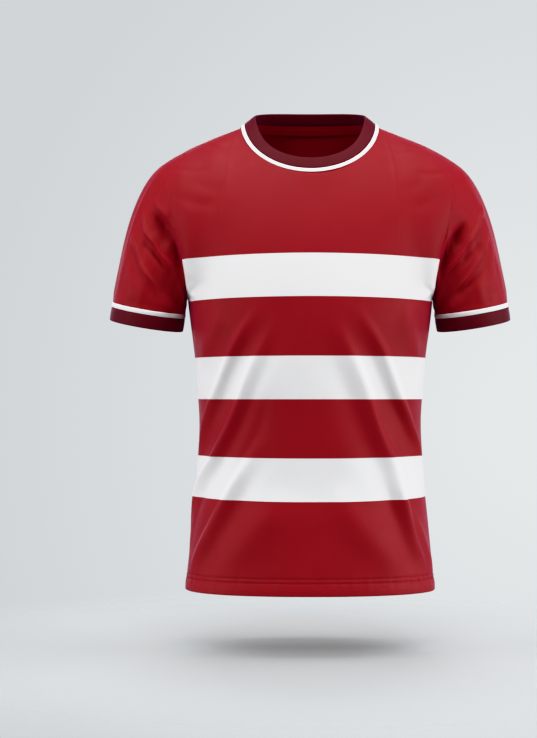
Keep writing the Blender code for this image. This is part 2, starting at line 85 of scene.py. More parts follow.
# Shoulders and neck
SHOULDER_OUT = 0.230
SHOULDER_DROP = 0.060
SHOULDER_SLOPES = (-0.40, -0.72)
NECK_HALF_WIDTH = 0.106
NECK_FRONT = 0.086
NECK_BACK = 0.082
NECK_DROP = 0.078
NECK_SOFTNESS = 0.20
NECK_TURN = 0.45
YOKE_LEAVE = 1.1
YOKE_ARRIVE = 0.8
YOKE_HEIGHT = 0.26
SLOPE_STEP = 0.001
ARMHOLE_PULL_FROM = 0.3
NET_COLUMNS = 41
NET_ROWS = 17
NET_HOLD = 0.02
EASING_FADE = (0.65, 0.95)
FILL_PLACES = (0.52, 0.975)
FILL_FROM = (0.0, 0.12)
FILL_TO = (0.60, 0.85)
SLEEVE_FLOW = (0.35, 0.75)

# Collar
COLLAR_EDGE_HEIGHT = 0.0064
COLLAR_BAND_HEIGHT = 0.0195
COLLAR_CLOTH = 0.0026
COLLAR_LEAN_FRONT = math.radians(25)
COLLAR_LEAN_SIDE = math.radians(55)
COLLAR_LEAN_BACK = math.radians(17)
COLLAR_STEPS = 240
EDGE_CROWN = 0.0004
BAND_CROWN = 0.0003
TAPE_SHARE = 0.955
TAPE_CLOTH = 0.0008

# Sleeves and their ends
SLEEVE_LEAVE = 0.75
SLEEVE_ARRIVE = 0.80
SLEEVE_TURN_LENGTH = 0.100
SLEEVE_LENGTH = 0.200
CUFF_CENTRE = (0.2516, 0.0, -0.3042)
CUFF_RADIUS = 0.0565
CUFF_HEIGHT = 0.021
CUFF_CLOTH = 0.0026
CUFF_TILT = math.radians(9.5)
CUFF_DIP = math.radians(6.0)
CUFF_STEPS = 180
STRIPE_HEIGHT = 0.0068
CAD_GAP = 0.0003

# Sections of the collar and cuffs
PROUD = 0.0004
TRIM_STEPS = 6
TRIM_END_STEPS = 6
TRIM_CORNER = 0.25
TRIM_SOFTNESS = 0.22

# Steps of the grids
SHOULDER_STEPS = 38
NECK_STEPS = 60
BODY_STEPS = 116
YOKE_STEPS = 88
TAPE_STEPS = 3
HALF_SLEEVE_STEPS = 58
HEM_ZONE = 0.030
HEM_STEP = 0.0014

# The hem, by heights above its edge
HEM_STITCH_ROWS = (0.0180, 0.0245)
HEM_STITCH_DIP = 0.0008
HEM_STITCH_REACH = 0.0014
HEM_FORM_HEIGHT = 0.060
HEM_ROLL = 0.0007
HEM_ROLL_MIDDLE = 0.0081
HEM_ROLL_REACH = 0.0063
PUCKER_DEPTH = 0.00030
PUCKER_REACH = 0.0090
Pucker = namedtuple("Pucker", "length phase")
PUCKERS = (Pucker(0.0113, 1.469), Pucker(0.0171, 2.223), Pucker(0.0257, 3.341))

# Stitches, with their rise, sink and taper as shares of the thread
STITCH_LENGTH = 0.0023
STITCH_PITCH = 0.0031
STITCH_THREAD = 0.00026
STITCH_RISE = 1.7
STITCH_SINK = 0.75
STITCH_TAPER = 0.45
STITCH_SIDES = 6
STITCH_RINGS = 5

# Bands across the body
BAND_TOP = -0.201
BAND_COUNT = 3
BAND_BLUR = 0.0005
BAND_LEVEL = -0.43
BAND_BOW = 0.7

# Creases, with their sides and troughs in widths of the crease, and their ends in shares of its length
CREASE_STEPS = 49
CREASE_REACH = 5.5
CREASE_PAST_END = 0.15
CREASE_RISE = (-0.15, 0.25)
CREASE_FALL = (0.75, 1.15)
CREASE_START_WIDTH = 0.8
CREASE_WIDTH_GAIN = 0.4
SLEEVE_RISE = (0, 0.04)
SLEEVE_FALL = (0.90, 1)
RIDGE_SIDES = (0.75, 1.6)
TROUGH_SIDES = (0.7, 2.0)
TROUGH_OFFSET = 2.8
TROUGH_WIDTH = 2.2
TROUGH_SHARE = 0.5

# Knit and thread
EDGE_WALE = 0.0009
RIB_WALE = 0.0012
TAPE_WALE = 0.0008
COURSE = 0.00095
LOOP_SLANT = 0.5
LOOP_DEPTH = 0.45
KNIT_RELIEF = 0.00012
# Painted shade in the knit's grooves: the share of the yarn's colour laid there, and the colour laid in the
# bands' grooves
GROOVE_PAINTED_SHADE = 0.35
STRIPED_GROOVE_PAINTED_SHADE = (0.05, 0.01, 0.015, 1.0)
ROUGHNESS_SPREAD = 0.08
SHEEN_ROUGHNESS = 0.38
BAND_EVENNESS = 3
THREAD_SHADE = 0.8
THREAD_RANGE = (0.75, 1.15)

Ring = namedtuple("Ring", "height half_width front back")
RINGS = (
    Ring(-0.7065, 0.1915, 0.1240, 0.128),
    Ring(-0.6500, 0.1853, 0.1215, 0.124),
    Ring(-0.6000, 0.1805, 0.1200, 0.118),
    Ring(-0.5500, 0.1752, 0.1200, 0.114),
    Ring(-0.5000, 0.1715, 0.1215, 0.112),
    Ring(-0.4500, 0.1700, 0.1240, 0.111),
    Ring(-0.4000, 0.1730, 0.1275, 0.113),
    Ring(-0.3500, 0.1770, 0.1300, 0.118),
    Ring(-0.3000, 0.1835, 0.1310, 0.124),
    Ring(-0.2620, 0.1880, 0.1300, 0.128),
    Ring(-0.2200, 0.1910, 0.1270, 0.129),
)

# The armhole from the underarm (0) to the shoulder tip (1), as the front and the back are cut
Armhole = namedtuple("Armhole", "share out front back height")
ARMHOLE = (
    Armhole(0.00, 0.1880, 0.000, 0.000, -0.262),
    Armhole(0.13, 0.1885, 0.034, 0.032, -0.251),
    Armhole(0.25, 0.1910, 0.053, 0.051, -0.227),
    Armhole(0.37, 0.1960, 0.063, 0.062, -0.197),
    Armhole(0.51, 0.2050, 0.067, 0.068, -0.160),
    Armhole(0.66, 0.2120, 0.062, 0.066, -0.120),
    Armhole(0.80, 0.2170, 0.047, 0.053, -0.086),
    Armhole(0.92, 0.2250, 0.022, 0.027, -0.065),
    Armhole(1.00, 0.2300, 0.000, 0.000, -0.060),
)

# The directions in which the yoke's columns arrive at the neck seam and the shoulder seam
Arrival = namedtuple("Arrival", "turn inward across up")
FRONT_ARRIVALS = (
    Arrival(0.00, 0.00, 0.45, 0.89),
    Arrival(0.22, 0.38, 0.44, 0.81),
    Arrival(0.36, 0.55, 0.58, 0.60),
    Arrival(0.45, 0.50, 0.72, 0.42),
    Arrival(0.60, 0.20, 0.95, 0.16),
    Arrival(0.80, 0.00, 1.00, 0.02),
    Arrival(1.00, 0.00, 1.00, 0.00),
)
BACK_ARRIVALS = (
    Arrival(0.00, 0.00, 0.30, 0.95),
    Arrival(0.22, 0.35, 0.38, 0.84),
    Arrival(0.36, 0.50, 0.66, 0.40),
    Arrival(0.45, 0.45, 0.86, 0.02),
    Arrival(0.60, 0.20, 0.98, 0.00),
    Arrival(0.80, 0.00, 1.00, 0.00),
    Arrival(1.00, 0.00, 1.00, 0.00),
)

# The directions in which the sleeve leaves the armhole, from the underarm (0) to the shoulder tip (1)
Departure = namedtuple("Departure", "share out down")
DEPARTURES = (
    Departure(0.00, 0.50, 0.87),
    Departure(0.20, 0.62, 0.78),
    Departure(0.45, 0.80, 0.60),
    Departure(0.70, 0.86, 0.51),
    Departure(1.00, 0.81, 0.58),
)

# Creases: each a ridge along a path of places, with a broad trough on the left of its path (1), on the
# right (-1) or on neither (0). A negative depth is a trough alone, that rises slowly on the side named. A
# place is a turn with the height on the body, or on a sleeve with the share of the way down to the cuff.
Crease = namedtuple("Crease", "path width depth side")
BODY_CREASES = (
    # Front, on -X: pulled from below the chest to the waist and from there to the hem
    Crease(
        ((-0.310, -0.299), (-0.405, -0.331), (-0.563, -0.392), (-0.748, -0.450), (-0.900, -0.500)),
        0.0080, 0.0066, 1,
    ),
    Crease(
        ((-0.225, -0.328), (-0.315, -0.370), (-0.435, -0.432),
         (-0.620, -0.500), (-0.900, -0.560), (-0.975, -0.605)),
        0.0080, 0.0072, 1,
    ),
    Crease(((-0.310, -0.492), (-0.470, -0.557), (-0.620, -0.615), (-0.790, -0.668)), 0.0100, 0.0070, 1),
    Crease(((-0.500, -0.290), (-0.600, -0.323), (-0.735, -0.356)), 0.0160, 0.0034, 0),
    Crease(((-0.225, -0.412), (-0.275, -0.460), (-0.350, -0.500), (-0.395, -0.528)), 0.0120, -0.0028, 0),
    Crease(((-0.140, -0.560), (-0.260, -0.612), (-0.470, -0.668)), 0.0210, 0.0034, 0),
    Crease(((-0.820, -0.560), (-0.880, -0.600), (-0.930, -0.645)), 0.0110, 0.0020, 0),
    # Front, on +X
    Crease(
        ((0.262, -0.302), (0.360, -0.338), (0.521, -0.410), (0.740, -0.478), (0.860, -0.510)),
        0.0085, 0.0070, -1,
    ),
    Crease(
        ((0.150, -0.328), (0.265, -0.395), (0.375, -0.464),
         (0.490, -0.522), (0.550, -0.570), (0.590, -0.606)),
        0.0105, 0.0078, -1,
    ),
    Crease(((0.500, -0.540), (0.560, -0.590), (0.615, -0.625), (0.710, -0.662)), 0.0090, 0.0056, -1),
    Crease(((0.500, -0.280), (0.590, -0.320), (0.700, -0.362)), 0.0200, 0.0050, 0),
    Crease(((0.465, -0.418), (0.620, -0.464), (0.765, -0.497)), 0.0085, -0.0022, 0),
    Crease(((0.730, -0.504), (0.800, -0.526), (0.865, -0.552)), 0.0100, 0.0026, 0),
    Crease(((0.110, -0.552), (0.240, -0.612), (0.460, -0.672)), 0.0210, 0.0038, 0),
    Crease(((0.640, -0.590), (0.760, -0.630), (0.900, -0.672)), 0.0120, 0.0029, -1),
    # Front, over the hem
    Crease(
        ((-0.480, -0.646), (-0.250, -0.604), (0.000, -0.593), (0.230, -0.604), (0.460, -0.652)),
        0.0370, 0.0033, -1,
    ),
    # Across the front of the shoulders
    Crease(((-0.980, -0.068), (-0.800, -0.072), (-0.620, -0.070)), 0.0042, -0.0012, 0),
    Crease(((-0.700, -0.030), (-0.520, -0.034), (-0.360, -0.032)), 0.0048, -0.0012, 0),
    Crease(((0.960, -0.074), (0.780, -0.078), (0.640, -0.076)), 0.0044, -0.0012, 0),
    Crease(((0.680, -0.034), (0.520, -0.038), (0.380, -0.035)), 0.0052, -0.0012, 0),
    # Pulls from the front armholes, and pinches below them
    Crease(((-0.960, -0.112), (-0.720, -0.124), (-0.480, -0.124)), 0.0090, -0.0013, 0),
    Crease(((-0.760, -0.092), (-0.600, -0.100), (-0.440, -0.103)), 0.0090, -0.0009, 0),
    Crease(((0.900, -0.112), (0.740, -0.124), (0.560, -0.129)), 0.0090, -0.0012, 0),
    Crease(((0.760, -0.088), (0.600, -0.098), (0.420, -0.104)), 0.0100, -0.0008, 0),
    Crease(((-0.930, -0.247), (-0.810, -0.256), (-0.700, -0.266)), 0.0044, 0.0034, 1),
    Crease(((0.940, -0.246), (0.810, -0.254), (0.690, -0.266)), 0.0044, 0.0034, -1),
    # Back
    Crease(((2.300, -0.300), (2.420, -0.342), (2.600, -0.410), (2.780, -0.462)), 0.0090, 0.0053, -1),
    Crease(((2.170, -0.330), (2.300, -0.398), (2.470, -0.480), (2.780, -0.580)), 0.0100, 0.0055, -1),
    Crease(((2.360, -0.520), (2.520, -0.580), (2.760, -0.662)), 0.0105, 0.0046, -1),
    Crease(((2.250, -0.556), (2.360, -0.612), (2.560, -0.670)), 0.0240, 0.0042, -1),
    Crease(((1.690, -0.302), (1.590, -0.342), (1.440, -0.402), (1.230, -0.474)), 0.0090, 0.0053, 1),
    Crease(((1.820, -0.340), (1.690, -0.400), (1.520, -0.470), (1.220, -0.560)), 0.0100, 0.0053, 1),
    Crease(((1.640, -0.515), (1.480, -0.585), (1.230, -0.658)), 0.0110, 0.0043, 1),
    Crease(((1.740, -0.560), (1.620, -0.620), (1.430, -0.672)), 0.0240, 0.0042, 1),
    Crease(((2.090, -0.440), (1.980, -0.475), (1.870, -0.500)), 0.0280, -0.0018, 0),
    Crease(((1.080, -0.152), (1.320, -0.136), (1.540, -0.124)), 0.0100, -0.0014, 0),
    Crease(((2.920, -0.156), (2.700, -0.142), (2.440, -0.120)), 0.0100, -0.0014, 0),
    Crease(((1.090, -0.246), (1.200, -0.256), (1.320, -0.268)), 0.0048, 0.0029, 1),
    Crease(((2.910, -0.246), (2.800, -0.257), (2.690, -0.270)), 0.0048, 0.0029, -1),
)
LEFT_SLEEVE_CREASES = (
    Crease(((1.52, 0.21), (1.30, 0.13), (1.14, 0.04)), 0.0060, 0.0026, 0),
    Crease(
        ((1.38, 0.26), (1.20, 0.18), (1.04, 0.12),
         (0.90, 0.08), (0.74, 0.05), (0.52, 0.04)),
        0.0135, -0.0138, -1,
    ),
    Crease(((1.28, 0.30), (1.18, 0.55), (1.12, 0.88)), 0.0300, 0.0040, 0),
    Crease(((0.80, 0.20), (0.74, 0.45), (0.70, 0.80)), 0.0220, -0.0050, 0),
    Crease(((1.62, 0.35), (1.35, 0.39), (1.15, 0.36), (0.94, 0.35), (0.66, 0.27)), 0.0046, 0.0056, 0),
    Crease(((1.34, 0.46), (1.10, 0.43), (0.86, 0.41)), 0.0080, -0.0038, 0),
    Crease(((1.66, 0.52), (1.41, 0.56), (1.26, 0.61), (0.98, 0.67)), 0.0050, 0.0038, 0),
    Crease(((1.62, 0.59), (1.32, 0.68), (1.09, 0.73), (0.88, 0.83)), 0.0085, -0.0022, 0),
    Crease(((1.54, 0.66), (1.36, 0.80), (1.26, 0.94)), 0.0090, 0.0020, 0),
    Crease(((0.42, 0.30), (0.26, 0.46), (0.10, 0.62)), 0.0090, 0.0024, 0),
    Crease(((2.72, 0.16), (2.98, 0.34), (3.36, 0.44)), 0.0085, 0.0040, 0),
    Crease(((2.60, 0.30), (2.86, 0.46), (3.20, 0.58)), 0.0095, -0.0036, 0),
    Crease(((2.46, 0.42), (2.74, 0.60), (3.02, 0.76)), 0.0085, 0.0030, 0),
    Crease(((2.36, 0.60), (2.60, 0.76), (2.84, 0.92)), 0.0095, -0.0022, 0),
)
RIGHT_SLEEVE_CREASES = (
    Crease(((1.00, 0.09), (0.88, 0.11), (0.76, 0.12)), 0.0044, 0.0024, 0),
    Crease(((1.24, 0.26), (1.08, 0.20), (0.93, 0.14), (0.78, 0.10), (0.52, 0.06)), 0.0135, -0.0132, -1),
    Crease(((1.28, 0.30), (1.20, 0.55), (1.10, 0.88)), 0.0300, 0.0040, 0),
    Crease(((0.78, 0.20), (0.72, 0.45), (0.68, 0.80)), 0.0220, -0.0050, 0),
    Crease(((1.78, 0.35), (1.47, 0.39), (1.15, 0.37), (0.88, 0.34), (0.60, 0.24)), 0.0046, 0.0056, 0),
    Crease(((1.40, 0.48), (1.20, 0.46), (0.92, 0.43)), 0.0090, -0.0032, 0),
    Crease(((1.62, 0.50), (1.32, 0.56), (1.06, 0.60), (0.82, 0.64)), 0.0050, 0.0040, 0),
    Crease(((1.30, 0.63), (1.06, 0.67), (0.70, 0.72)), 0.0090, -0.0020, 0),
    Crease(((1.62, 0.56), (1.48, 0.68), (1.36, 0.84)), 0.0090, 0.0022, 0),
    Crease(((0.40, 0.34), (0.26, 0.50), (0.12, 0.66)), 0.0090, 0.0024, 0),
    Crease(((2.66, 0.18), (2.96, 0.34), (3.34, 0.46)), 0.0085, 0.0040, 0),
    Crease(((2.58, 0.32), (2.88, 0.50), (3.22, 0.62)), 0.0095, -0.0034, 0),
    Crease(((2.42, 0.46), (2.68, 0.62), (2.96, 0.80)), 0.0085, 0.0028, 0),
    Crease(((2.30, 0.62), (2.52, 0.80), (2.70, 0.94)), 0.0095, -0.0020, 0),
)

# Slow waves that keep the cloth from lying perfectly even: turns and metres along, with their depth
Wave = namedtuple("Wave", "round along phase depth")
WAVES = (
    Wave(9.0, 26.0, 0.7, 0.00045),
    Wave(-7.0, 38.0, 2.1, 0.00035),
    Wave(15.0, 11.0, 4.0, 0.00030),
    Wave(-21.0, 52.0, 5.2, 0.00016),
)
WAVE_FROM_SIDE = 0.03
WAVE_FROM_TOP = 0.04

# The fields of a piece's cut: width, length and flat area
Cut = namedtuple("Cut", "width length area")


# Curves


def hermite(start, leave, end, arrive, share):
    """A cubic from start to end with the given end slopes, at a share of its length."""
    square, cube = share**2, share**3
    return (
        (2 * cube - 3 * square + 1) * start
        + (cube - 2 * square + share) * leave
        + (3 * square - 2 * cube) * end
        + (cube - square) * arrive
    )


def curve_through(knots, values, at):
    """A smooth curve through one value at each knot, read at the places given."""
    knots, values = np.asarray(knots, float), np.asarray(values, float)
    slopes = np.gradient(values, knots)
    low = np.clip(np.searchsorted(knots, at) - 1, 0, len(knots) - 2)
    step = knots[low + 1] - knots[low]
    share = (at - knots[low]) / step
    return hermite(values[low], slopes[low] * step, values[low + 1], slopes[low + 1] * step, share)


def read(rows, key, name, at):
    """A table's column as a smooth curve over its key column."""
    return curve_through([getattr(row, key) for row in rows], [getattr(row, name) for row in rows], at)


def smooth_step(low, high, value):
    """A ramp from 0 at the low value to 1 at the high one, level at both ends."""
    share = np.clip((value - low) / (high - low), 0, 1)
    return share**2 * (3 - 2 * share)


def window(value, rise, fall):
    """A weight that rises from 0 to 1 over one range and falls back over another."""
    return smooth_step(*rise, value) * (1 - smooth_step(*fall, value))


def unit(vectors):
    return vectors / np.linalg.norm(vectors, axis=-1, keepdims=True)


def point(x, y, z):
    return np.stack(np.broadcast_arrays(x, y, z), axis=-1)


def dip(distance, reach):
    """A rounded bump: 1 at no distance, and fading over its reach."""
    return np.exp(-((distance / reach) ** 2))


# The body's surface


def ring_point(turn, height):
    """The body's section at a height: a rounded oval, with its own depth in front and behind."""
    angle = turn * math.pi / 2
    across, ahead = np.sin(angle), np.cos(angle)
    front, back = read(RINGS, "height", "front", height), read(RINGS, "height", "back", height)
    power = 2 / ROUNDNESS
    return point(
        read(RINGS, "height", "half_width", height) * np.sign(across) * np.abs(across) ** power,
        np.where(ahead > 0, -front, back) * np.abs(ahead) ** power,
        height,
    )


def neck_point(angle):
    """The neck seam, by the angle from the front centre: low in front, nearly level behind."""
    ahead = np.cos(angle)

    def ramp(value):
        return (value + np.sqrt(value**2 + NECK_SOFTNESS**2)) / 2

    drop = (ramp(ahead) - ramp(0)) / (ramp(1) - ramp(0))
    depth = np.where(ahead > 0, -NECK_FRONT, -NECK_BACK) * ahead
    return point(NECK_HALF_WIDTH * np.sin(angle), depth, -NECK_DROP * drop)


def shoulder_point(side, share):
    """The shoulder seam, from the neck (0) to the shoulder tip (1)."""
    neck = np.array([NECK_HALF_WIDTH, 0, 0])
    tip = np.array([SHOULDER_OUT, 0, -SHOULDER_DROP])
    span = SHOULDER_OUT - NECK_HALF_WIDTH
    leave, arrive = (span * np.array([1, 0, slope]) for slope in SHOULDER_SLOPES)
    return hermite(neck, leave, tip, arrive, share[..., None]) * point(side, 1, 1)


def armhole_point(lap):
    """The armhole seam on +X, by lap: 0 at the underarm, 0.5 in front, 1 at the tip, 1.5 behind."""
    rows = [(row.share, row.out, -row.front, row.height) for row in ARMHOLE]
    rows += [(2 - row.share, row.out, row.back, row.height) for row in ARMHOLE[-2:0:-1]]
    knots = np.array([(row[0] + 2 * lap_count, *row[1:]) for lap_count in (-1, 0, 1) for row in rows])
    return point(*(curve_through(knots[:, 0], knots[:, axis], lap) for axis in (1, 2, 3)))


def yoke_top(place, back):
    """Where a column of the yoke ends: on the neck seam near the centre, else on the shoulder seam."""
    angle = np.clip(place / NECK_TURN, -1, 1) * math.pi / 2
    neck = neck_point(math.pi - angle if back else angle)
    share = np.clip((np.abs(place) - NECK_TURN) / (1 - NECK_TURN), 0, 1)
    shoulder = shoulder_point(np.sign(place), share)
    return np.where((np.abs(place) <= NECK_TURN)[..., None], neck, shoulder)


def yoke_sweep(place, share, back):
    """The yoke as columns from the underarm section to its top, before the armholes shape it.

    Place is the turn from the panel's own centre, from -1 at its -X edge to 1 at its +X edge. A share
    below 0 or above 1 runs straight on past the column's end.
    """
    turn = 2 - place if back else place
    start = ring_point(turn, UNDERARM_HEIGHT)
    climb = unit(ring_point(turn, UNDERARM_HEIGHT + SLOPE_STEP) - start)
    end = yoke_top(place, back)
    length = np.linalg.norm(end - start, axis=-1, keepdims=True)
    arrivals = BACK_ARRIVALS if back else FRONT_ARRIVALS
    away = np.abs(place)
    arrive = point(
        -np.sign(place) * read(arrivals, "turn", "inward", away),
        read(arrivals, "turn", "across", away) * (-1 if back else 1),
        read(arrivals, "turn", "up", away),
    )
    leave, arrive = climb * length * YOKE_LEAVE, unit(arrive) * length * YOKE_ARRIVE
    share = share[..., None]
    column = hermite(start, leave, end, arrive, np.clip(share, 0, 1))
    return column + leave * np.minimum(share, 0) + arrive * np.maximum(share - 1, 0)


def yoke_draft(place, share, back):
    """The yoke's columns, drawn over their outer parts to the armholes' real curves."""
    side = np.where(place < 0, -1.0, 1.0)
    lap = np.clip(share, 0, 1)
    armhole = armhole_point(2 - lap if back else lap) * point(side, 1, 1)
    pull = smooth_step(ARMHOLE_PULL_FROM, 1, np.abs(place))[..., None]
    return yoke_sweep(place, share, back) + pull * (armhole - yoke_sweep(side, lap, back))


def bend_matrix(count, order):
    """The stiffness of a row of points against stretching (1) or bending (2)."""
    differences = np.diff(np.eye(count), order, axis=0)
    return differences.T @ differences


def yoke_easing(back):
    """What takes the draft to the shape of a cloth that bends evenly inside the yoke's edges, on a net.

    The net reaches one row past the yoke below and above, so that the cloth keeps its slope there. The
    change fades out towards the armholes.
    """
    places, shares = np.linspace(-1, 1, NET_COLUMNS), np.linspace(0, 1, NET_ROWS)
    row_step = shares[1]
    past = np.concatenate([[-row_step], shares, [1 + row_step]])
    draft = yoke_draft(places[None, :], past[:, None], back)
    rows, columns = draft.shape[:2]
    bend = np.kron(bend_matrix(rows, 2), np.eye(columns)) + np.kron(np.eye(rows), bend_matrix(columns, 2))
    bend += 2 * np.kron(bend_matrix(rows, 1), bend_matrix(columns, 1))
    free = np.zeros((rows, columns), bool)
    free[2:-2, 1:-1] = True
    free = free.ravel()
    flat = draft.reshape(-1, 3)
    held = NET_HOLD * flat[free] - bend[np.ix_(free, ~free)] @ flat[~free]
    easing = np.zeros_like(flat)
    stiffness = bend[np.ix_(free, free)] + NET_HOLD * np.eye(free.sum())
    easing[free] = np.linalg.solve(stiffness, held) - flat[free]
    fade = 1 - smooth_step(*EASING_FADE, np.abs(places))
    return places, shares, easing.reshape(rows, columns, 3)[1:-1] * fade[None, :, None]


def curve_weights(knots, at):
    """The weight of each knot's value in a smooth curve through them, at the places given."""
    return np.stack([curve_through(knots, row, at) for row in np.eye(len(knots))], axis=-1)


def yoke_grid(places, shares, back):
    """The yoke's points, with a row for each share of its height and a column for each place."""
    net_places, net_shares, easing = yoke_easing(back)
    along, across = curve_weights(net_shares, shares), curve_weights(net_places, places)
    eased = np.einsum("ri,cj,ijk->rck", along, across, easing)
    return yoke_draft(places[None, :], shares[:, None], back) + eased


# Creases and waves


def crease_line(crease, turn_length, along_length):
    """Points in metres along a crease's path and a little past its ends, with their shares of it."""
    corners = np.array(crease.path) * (turn_length, along_length)
    run = run_along(corners, 0)
    shares = np.linspace(-CREASE_PAST_END, 1 + CREASE_PAST_END, CREASE_STEPS)
    on_path = np.clip(shares, 0, 1)
    line = np.stack([curve_through(run / run[-1], corners[:, axis], on_path) for axis in (0, 1)], axis=-1)
    straight = np.where((shares < 0)[:, None], corners[1] - corners[0], corners[-1] - corners[-2])
    return line + (shares - on_path)[:, None] * unit(straight) * run[-1], shares


def crease_shape(crease, aside, width):
    """The crease's section from -1 to 1, at distances to the left of its path."""
    if not crease.side:
        return dip(aside, width)
    steep, slack = RIDGE_SIDES if crease.depth > 0 else TROUGH_SIDES
    shape = dip(aside, width * np.where(aside * crease.side > 0, slack, steep))
    if crease.depth > 0:
        shape -= TROUGH_SHARE * dip(aside - crease.side * TROUGH_OFFSET * width, TROUGH_WIDTH * width)
    return shape


def crease_lift(creases, around, along, turn_length, along_length):
    """How far the creases lift the cloth at each place: ridges out, troughs in, fading at both ends."""
    around, along = np.broadcast_arrays(around, along)
    lift = np.zeros(around.shape)
    for crease in creases:
        line, shares = crease_line(crease, turn_length, along_length)
        middle = np.mean([place[0] for place in crease.path])
        turn = (around - middle + 2) % 4 - 2 + middle  # the nearest lap of the path
        places = np.stack([turn * turn_length, along * along_length], axis=-1)
        reach = CREASE_REACH * crease.width
        near = np.all((places > line.min(axis=0) - reach) & (places < line.max(axis=0) + reach), axis=-1)
        offsets = places[near][:, None] - line
        closest = np.argmin(np.sum(offsets**2, axis=-1), axis=1)
        offset = offsets[np.arange(len(closest)), closest]
        forward = unit(np.gradient(line, axis=0))[closest]
        ahead = np.sum(offset * forward, axis=-1)
        aside = offset[:, 1] * forward[:, 0] - offset[:, 0] * forward[:, 1]
        share = shares[closest] + ahead / run_along(line, 0)[-1] * (1 + 2 * CREASE_PAST_END)
        width = crease.width * (CREASE_START_WIDTH + CREASE_WIDTH_GAIN * np.clip(share, 0, 1))
        ends = window(share, CREASE_RISE, CREASE_FALL)
        lift[near] += crease.depth * crease_shape(crease, aside, width) * ends
    return lift


def wave_lift(around, along):
    """Slow uneven waves over the whole cloth."""
    return sum(wave.depth * np.sin(wave.round * around + wave.along * along + wave.phase) for wave in WAVES)


# Panels: grids whose rows run up the body, or down a sleeve from its armhole


def grid_normals(points, closed):
    """The outward direction at each point of a grid, which may close round a sleeve."""
    if closed:
        across = np.roll(points, -1, axis=1) - np.roll(points, 1, axis=1)
    else:
        across = np.gradient(points, axis=1)
    return unit(np.cross(across, np.gradient(points, axis=0)))


def run_along(points, axis):
    """The length of cloth passed at each point, from the first row or column."""
    steps = np.linalg.norm(np.diff(points, axis=axis), axis=-1)
    return np.insert(np.cumsum(steps, axis=axis), 0, 0, axis=axis)


def from_both_ends(run, axis):
    """The length of cloth to the nearer end."""
    return np.minimum(run, np.take(run, [-1], axis=axis) - run)


def fill_out(points, places, shares):
    """Lets the yoke run smoothly from the chest to each armhole, with no hollow between them."""
    weight = window(shares, FILL_FROM, FILL_TO)[:, None, None]
    for side in (-1, 1):
        inside = np.flatnonzero((side * places > FILL_PLACES[0]) & (side * places < FILL_PLACES[1]))
        first, last = inside[0], inside[-1]
        piece = points[:, first : last + 1]
        start, end = piece[:, :1], piece[:, -1:]
        chord = np.linalg.norm(end - start, axis=-1, keepdims=True)
        leave = unit(start - points[:, first - 1 : first]) * chord
        arrive = unit(points[:, last + 1 : last + 2] - end) * chord
        run = run_along(piece, 1)
        bridge = hermite(start, leave, end, arrive, (run / run[:, -1:])[..., None])
        piece += weight * (bridge - piece)


class Panel:
    """A sewn piece as a grid of points on its outer face, with a normal at each."""

    def __init__(self, points, closed):
        self.points, self.closed = points, closed
        self.normals = grid_normals(points, closed)
        self.weights = np.ones(points.shape[:2])

    def lift(self, amount):
        """Moves the points out along their normals, and turns the normals to suit."""
        self.points = self.points + self.normals * amount[..., None]
        self.normals = grid_normals(self.points, self.closed)

    def edges(self):
        """The places along each edge, with the panel on the left as seen from outside."""
        rows, columns = self.points.shape[:2]
        if self.closed:
            ring = np.arange(columns)
            return [(ring * 0, ring), (ring * 0 + rows - 1, ring[::-1])]
        low, right = np.arange(columns - 1), np.arange(rows - 1)
        edge_rows = np.concatenate([low * 0, right, low * 0 + rows - 1, right[::-1] + 1])
        edge_columns = np.concatenate([low, right * 0 + columns - 1, low[::-1] + 1, right * 0])
        return [(edge_rows, edge_columns)]

    def draw_in(self):
        """Moves the edges in by half of the seam gap."""
        for edge in self.edges():
            line = self.points[edge]
            forward = unit(np.roll(line, -1, axis=0) - np.roll(line, 1, axis=0))
            self.points[edge] += np.cross(self.normals[edge], forward) * SEAM_GAP / 2

    def inner(self, cloth):
        """The points of the inner face, with the cloth's thickness given once or for each row."""
        return self.points - self.normals * np.reshape(cloth, (-1, 1, 1))


def share_normals(panels):
    """Gives panels that meet in a point one normal there, so that their walls end on one line."""
    points = np.concatenate([panel.points.reshape(-1, 3) for panel in panels])
    weighted = [panel.normals * panel.weights[..., None] for panel in panels]
    normals = np.concatenate([part.reshape(-1, 3) for part in weighted])
    place = np.unique(np.round(points, MEETING_DECIMALS), axis=0, return_inverse=True)[1].reshape(-1)
    total = np.zeros((place.max() + 1, 3))
    np.add.at(total, place, normals)
    shared = unit(total[place])
    first = 0
    for panel in panels:
        last = first + panel.weights.size
        panel.normals = shared[first:last].reshape(panel.points.shape)
        first = last


def to_seam(start, length, steps):
    """Shares of a length up to a seam at 1: even steps from the start, then closer ones near the seam."""
    near = 1 - np.array(NEAR_SEAM[::-1]) / length
    return np.concatenate([np.linspace(start, near[0], steps + 1)[1:], near[1:], [1]])


def body_places(back):
    """The columns of a body panel, from its -X edge, or for the back from its +X edge."""
    shoulder = to_seam(NECK_TURN, QUARTER_GIRTH, SHOULDER_STEPS)
    places = np.concatenate([-shoulder[::-1], np.linspace(-NECK_TURN, NECK_TURN, NECK_STEPS + 1), shoulder])
    return places[::-1] if back else places


def body_heights():
    """The rows of a body panel up to the underarm, close together over the hem."""
    hem = np.arange(0, HEM_ZONE, HEM_STEP)
    hem = np.unique(np.concatenate([hem, HEM_STITCH_ROWS, [HEM_DEPTH, HEM_DEPTH + HEM_STEP]]))
    body = np.linspace(HEM_HEIGHT + HEM_ZONE, UNDERARM_HEIGHT, BODY_STEPS)
    return np.concatenate([HEM_HEIGHT + hem, body])


def yoke_shares():
    """The rows of the yoke as shares of its height, close together at the neck tape and the top seam."""
    even = np.linspace(0, TAPE_SHARE, YOKE_STEPS)
    return np.concatenate([even, to_seam(TAPE_SHARE, YOKE_HEIGHT, TAPE_STEPS)])


